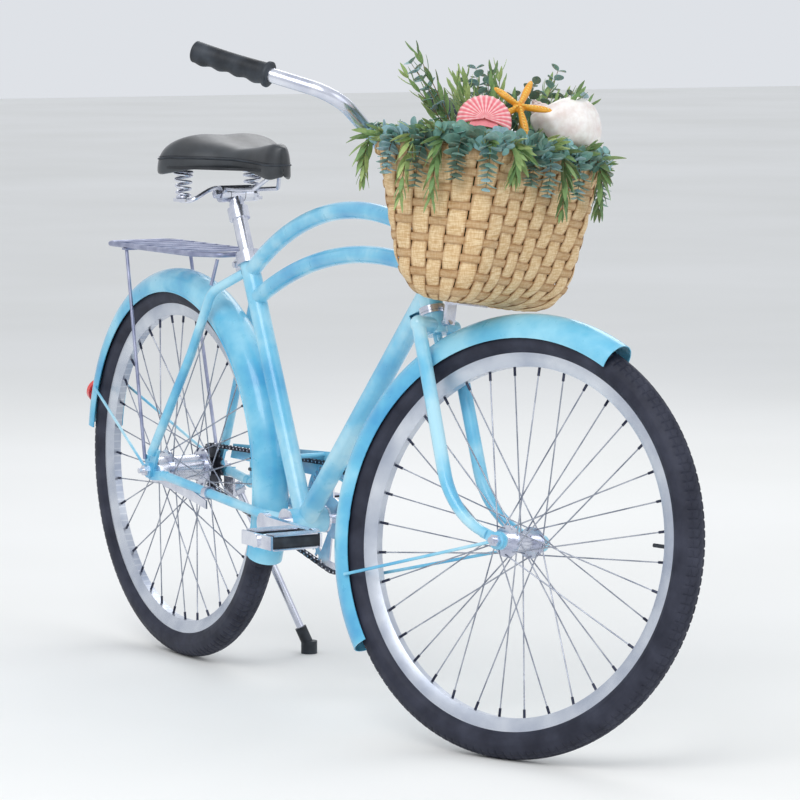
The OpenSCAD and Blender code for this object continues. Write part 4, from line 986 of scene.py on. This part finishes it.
def greenery():
    """Upright sprays round the back, a thick ruff along the rim, and sprays that hang over it."""
    willow, gum, stems = Shape(), Shape(), Shape()
    half = (FOAM_HIGH - FOAM_LOW) / 2

    def base(a, share):
        return HEART + [half[0] * share * math.cos(a), half[1] * share * math.sin(a), -4 * MM]

    def pick(kind):
        return (willow, stems) if kind == "long" else (gum, stems)

    for i in range(UPRIGHT_SPRAYS):
        a = VIEW_SIDE + math.radians(84 + 192 * i / (UPRIGHT_SPRAYS - 1)) + DRAW.uniform(-0.1, 0.1)
        tilt = DRAW.uniform(0.25, 0.95)
        kind = "round" if i % 5 in (1, 3) else "long"
        start = base(a, 0.75)
        reach = DRAW.uniform(120, 190) * MM
        way = unit([math.cos(a) * tilt * 0.8, math.sin(a) * tilt * 1.2, 1])
        end = start + way * reach
        middle = (start + end) / 2 + [0, 0, 8 * MM]
        top = CAD_BOX[1].z - 5 * MM
        end[2] = min(end[2], top)
        spray(*pick(kind), smooth_path([start, middle, end]), 0.12, 10, kind, 25 * MM)
    for i in range(RUFF_SPRAYS):
        u = i / RUFF_SPRAYS
        p, n = BASKET.grid(np.array([u]), [0.99])
        edge, out = p[0, 0], n[0, 0]
        a = math.atan2(edge[1] - HEART[1], edge[0] - HEART[0])
        start = base(a, 0.9)
        over = edge + Z * DRAW.uniform(10, 24) * MM
        kind = "round" if i % 4 else "long"
        end = edge + out * DRAW.uniform(6, 24) * MM + Z * DRAW.uniform(4, 30) * MM
        spray(*pick(kind), smooth_path([start, (start + over) / 2 + Z * 12 * MM, over, end]), 0.2, 9, kind, 23 * MM)
    for turned_by, fall, lean, kind in HANGING_SPRAYS:
        a = math.radians(turned_by)
        us = np.linspace(0, 1, 361)
        rim, normals = BASKET.grid(us, [0.99])
        angles = np.arctan2(rim[0][:, 1] - HEART[1], (rim[0][:, 0] - HEART[0]) * 1.4)
        best = int(np.argmin(np.abs(np.angle(np.exp(1j * (angles - a))))))
        edge, out = rim[0][best], normals[0][best]
        out = unit(out * [1, 1, 0])
        start = base(a, 0.9)
        points = [start, edge + Z * 13 * MM - out * 4 * MM, edge + out * 15 * MM + Z * 1 * MM,
                  edge + out * (16 + lean * 0.6) * MM - Z * fall * 0.5 * MM, edge + out * (13 + lean) * MM - Z * fall * MM]
        spray(*pick(kind), smooth_path(points), 0.3, 12, kind, 24 * MM)
    for _ in range(HEART_LEAVES):
        a, share = DRAW.uniform(0, TAU), math.sqrt(DRAW.random())
        at = HEART + [half[0] * 1.5 * share * math.cos(a), half[1] * 1.5 * share * math.sin(a), (28 - 16 * share) * MM]
        out = unit([math.cos(a), math.sin(a), DRAW.uniform(0.1, 1.0)])
        size = DRAW.uniform(20, 32) * MM
        up = unit([DRAW.uniform(-0.4, 0.4), DRAW.uniform(-0.4, 0.4), 1])
        gum.add(leaf(at, out, up, size, size * 0.75, 0.6, 0.15), DRAW.random())
    willow.piece("willow_leaves", "arrangement", "foam", WILLOW, True, sharp=60)
    gum.piece("eucalyptus_leaves", "arrangement", "foam", EUCALYPTUS, True, sharp=60)
    stems.piece("greenery_stems", "arrangement", "foam", STEM, True)


def facing(out_of):
    """Axes of a shell that faces the way out_of, as rows: right, up, out."""
    out = unit(out_of)
    right = unit(np.cross(Z, out))
    return np.array([right, np.cross(out, right), out])


OUTWARD = [0.56, -0.72, 0.42]


def scallop(at, size):
    """A ribbed fan shell with two ears at its hinge."""
    axes = facing(OUTWARD)
    ribs = 17
    fan = math.radians(104)
    a = np.linspace(-fan, fan, ribs * 6 + 1)
    rows = []
    for t in np.linspace(0.03, 1, 26):
        r = size * t * (1 + 0.06 * np.cos(a * 2))
        ridge = np.cos(a / (2 * fan) * TAU * ribs) * 1.3 * MM * t
        dome = size * 0.42 * np.sqrt(np.maximum(0, 1 - (t * 0.94) ** 2)) + ridge
        x, y = r * np.sin(a), r * np.cos(a) * 0.98 - size * 0.42
        rows.append(at + x[:, None] * axes[0] + y[:, None] * axes[1] + dome[:, None] * axes[2])
    grid = np.array(rows)
    stripe = 0.5 + 0.5 * np.cos(a / (2 * fan) * TAU * ribs)
    tint = np.array([np.clip(stripe * 0.75 + 0.25 * math.sin(t * 30) * 0.3 + 0.1, 0, 1)
                     for t in np.linspace(0, 1, 26)]).ravel()
    made = Shape().add(ribbon(grid, np.broadcast_to(axes[2], grid.shape), 1.8 * MM), np.concatenate([tint, tint]))
    for side in (-1, 1):
        ear = np.array([[at + axes[0] * side * x * size + axes[1] * (y * size) + axes[2] * size * 0.3 for x, y in row] for row in
                        (((0.0, -0.34), (0.24, -0.4), (0.48, -0.56)), ((0.0, -0.66), (0.26, -0.68), (0.5, -0.72)))])
        made.add(ribbon(ear, np.broadcast_to(axes[2], ear.shape), 2.4 * MM), 0.4)
    return made.piece("scallop_shell", "arrangement", "shell",
                      shell_skin("scallop_skin", ((0.0, rgb(232, 96, 112)), (1.0, rgb(255, 226, 222)), (0.5, rgb(246, 150, 158)))), True, sharp=60)


def starfish(at, size):
    """Five tapering arms, plump along their middles and covered in small knobs."""
    axes = facing(OUTWARD)
    made = Shape()
    m = 100
    a = np.arange(m) * TAU / m + 0.3
    lobe = np.abs(np.cos(2.5 * (a - 0.3)))
    reach = size * (0.2 + 0.8 * lobe ** 5.5)
    rings = []
    for t in np.linspace(0.02, 1, 14):
        r = reach * t
        plump = 8.5 * MM * math.sqrt(max(0.0, 1 - t ** 2.4)) * (0.55 + 0.45 * (1 - t))
        rings.append((r, plump))
    face = [at + (r * np.sin(a))[:, None] * axes[0] + (r * np.cos(a))[:, None] * axes[1] + h * axes[2] for r, h in rings]
    back = [at + (r * np.sin(a))[:, None] * axes[0] + (r * np.cos(a))[:, None] * axes[1] - h * 0.45 * axes[2] for r, h in rings[::-1]]
    made.add(loft(face + back[1:]), 0.5)
    for arm in range(5):
        angle = 0.3 + arm * TAU / 5
        along = math.sin(angle) * axes[0] + math.cos(angle) * axes[1]
        for k in range(9):
            spot = at + along * size * (0.1 + 0.095 * k) + axes[2] * (8.6 - 0.75 * k) * MM
            rings = [spot + axes[2] * (2 * MM * (1 - t ** 2)) + 2.2 * MM * t * (np.cos(np.arange(8) * TAU / 8)[:, None] * axes[0]
                     + np.sin(np.arange(8) * TAU / 8)[:, None] * axes[1]) for t in (1, 0.75, 0.4, 0.1)]
            made.add(loft(rings), 0.95)
    return made.piece("starfish", "arrangement", "shell",
                      shell_skin("starfish_skin", ((0.0, rgb(196, 110, 30)), (1.0, rgb(252, 206, 96)), (0.5, rgb(240, 168, 52))), 500), True, sharp=60)


def conch(at, size):
    """A conch: whorls that widen down its axis from a knobbly spire, and a lip flared into a pointed wing."""
    right, up, out = facing(OUTWARD)
    axis = unit(-0.6 * right + 0.72 * up + 0.25 * out)
    first = unit(up - (up @ axis) * axis)
    second = np.cross(axis, first)
    turns = 4.75
    rings, tints = [], []
    b = np.arange(32) * TAU / 32
    for t in np.linspace(0, 1, 230):
        grow = math.exp(-2.7 * (1 - t))
        a = (t - 1) * turns * TAU - 0.25
        radial = math.cos(a) * first + math.sin(a) * second
        flare = max(0.0, (t - 0.9) / 0.1) ** 1.5
        centre = at + axis * size * (0.66 - 0.7 * grow) + radial * size * 0.27 * grow
        knob = 1 + 0.16 * max(0.0, math.cos(a * 6)) ** 2
        wide = size * 0.24 * grow * (knob + 1.9 * flare)
        tall = size * grow * (0.2 + 0.3 * t + 0.12 * flare)
        lean = -axis * np.sin(b)[:, None] ** 2 * size * 0.12 * grow * (np.sin(b)[:, None] < 0)
        rings.append(centre - axis * tall * 0.5 * t + radial * size * 0.34 * flare
                     + wide * np.cos(b)[:, None] * radial + tall * np.sin(b)[:, None] * axis + lean * 2)
        lines = 0.16 * np.sin(b * 8 + t * 30)
        tints.append(np.clip(1.02 * grow ** 0.7 + lines + 0.12 * math.cos(a * 6), 0, 1))
    inner = [ring.mean(0) + (ring - ring.mean(0)) * 0.9 for ring in rings[:-24:-1]]
    made = Shape().add(loft(rings + inner), np.concatenate(tints + [np.full(32, 0.8)] * len(inner)))
    return made.piece("conch_shell", "arrangement", "shell",
                      shell_skin("conch_skin", ((0.0, rgb(140, 108, 104)), (1.0, rgb(252, 246, 242)), (0.5, rgb(228, 208, 202)))), True, sharp=60)


moss_block()
greenery()
SHELLS = scallop(HEART + [24 * MM, -76 * MM, 74 * MM], 44 * MM)
starfish(HEART + [44 * MM, -18 * MM, 92 * MM], 50 * MM)
conch(HEART + [38 * MM, 64 * MM, 80 * MM], 62 * MM)
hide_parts("seashells")


# ---------------------------------------------------------------- floor, light and camera
def stage_set():
    mesh = bpy.data.meshes.new("floor")
    mesh.from_pydata([(-30, -30, 0), (30, -30, 0), (30, 30, 0), (-30, 30, 0)], [], [(0, 1, 2, 3)])
    floor = bpy.data.objects.new("floor", mesh)
    s = Surface("floor_paper", Roughness=0.9)
    s.colour(s.ramp(s.noise(0.6, 3), (0.3, rgb(236, 236, 233)), (0.7, rgb(243, 243, 241))))
    mesh.materials.append(s.material)
    bpy.context.scene.collection.objects.link(floor)
    world = bpy.data.worlds.new("studio")
    world.use_nodes = True
    world.node_tree.nodes["Background"].inputs["Color"].default_value = (0.92, 0.95, 1.0, 1)
    world.node_tree.nodes["Background"].inputs["Strength"].default_value = 0.8
    bpy.context.scene.world = world
    middle = (CAD_BOX[0] + CAD_BOX[1]) / 2
    for name, place, size, power in (("key", (2.2, -2.6, 3.6), 2.6, 80),
                                     ("fill", (3.6, 1.8, 2.0), 3.0, 22),
                                     ("back", (-2.6, 2.4, 3.2), 2.4, 34)):
        lamp = bpy.data.lights.new(name, "AREA")
        lamp.size = size
        lamp.energy = power
        obj = bpy.data.objects.new(name, lamp)
        obj.location = Vector(place) + Vector((middle.x, middle.y, 0))
        obj.rotation_mode = "QUATERNION"
        obj.rotation_quaternion = (middle - obj.location).to_track_quat("-Z", "Y")
        bpy.context.scene.collection.objects.link(obj)


VIEW_AZIMUTH = 60
VIEW_ELEVATION = 6
VIEW_DISTANCE = 6.4
FRAME_SHARE = 0.9


def camera():
    """A camera at the chosen angle, aimed and zoomed so that the bicycle fills FRAME_SHARE of the picture."""
    data = bpy.data.cameras.new("camera")
    obj = bpy.data.objects.new("camera", data)
    a, e = math.radians(VIEW_AZIMUTH), math.radians(VIEW_ELEVATION)
    away = np.array([math.sin(a) * math.cos(e), -math.cos(a) * math.cos(e), math.sin(e)])
    right = np.array([math.cos(a), math.sin(a), 0])
    top = np.cross(away, right)
    seen = ("front_tyre", "rear_tyre", "grip_left", "grip_right", "basket", "saddle_cover", "rack_deck", "seashells")
    points = np.concatenate([corners(name) for name in seen])
    aim = (points.min(0) + points.max(0)) / 2
    for _ in range(4):
        v = points - aim
        depth = VIEW_DISTANCE - v @ away
        x, y = v @ right / depth, v @ top / depth
        aim = aim + VIEW_DISTANCE * ((x.min() + x.max()) / 2 * right + (y.min() + y.max()) / 2 * top)
    data.sensor_width = 36
    data.lens = FRAME_SHARE * data.sensor_width / max(x.max() - x.min(), y.max() - y.min())
    obj.location = aim + away * VIEW_DISTANCE
    obj.rotation_mode = "QUATERNION"
    obj.rotation_quaternion = Vector(-away).to_track_quat("-Z", "Y")
    bpy.context.scene.collection.objects.link(obj)
    bpy.context.scene.camera = obj


stage_set()
camera()
bpy.context.scene.view_settings.view_transform = "Standard"
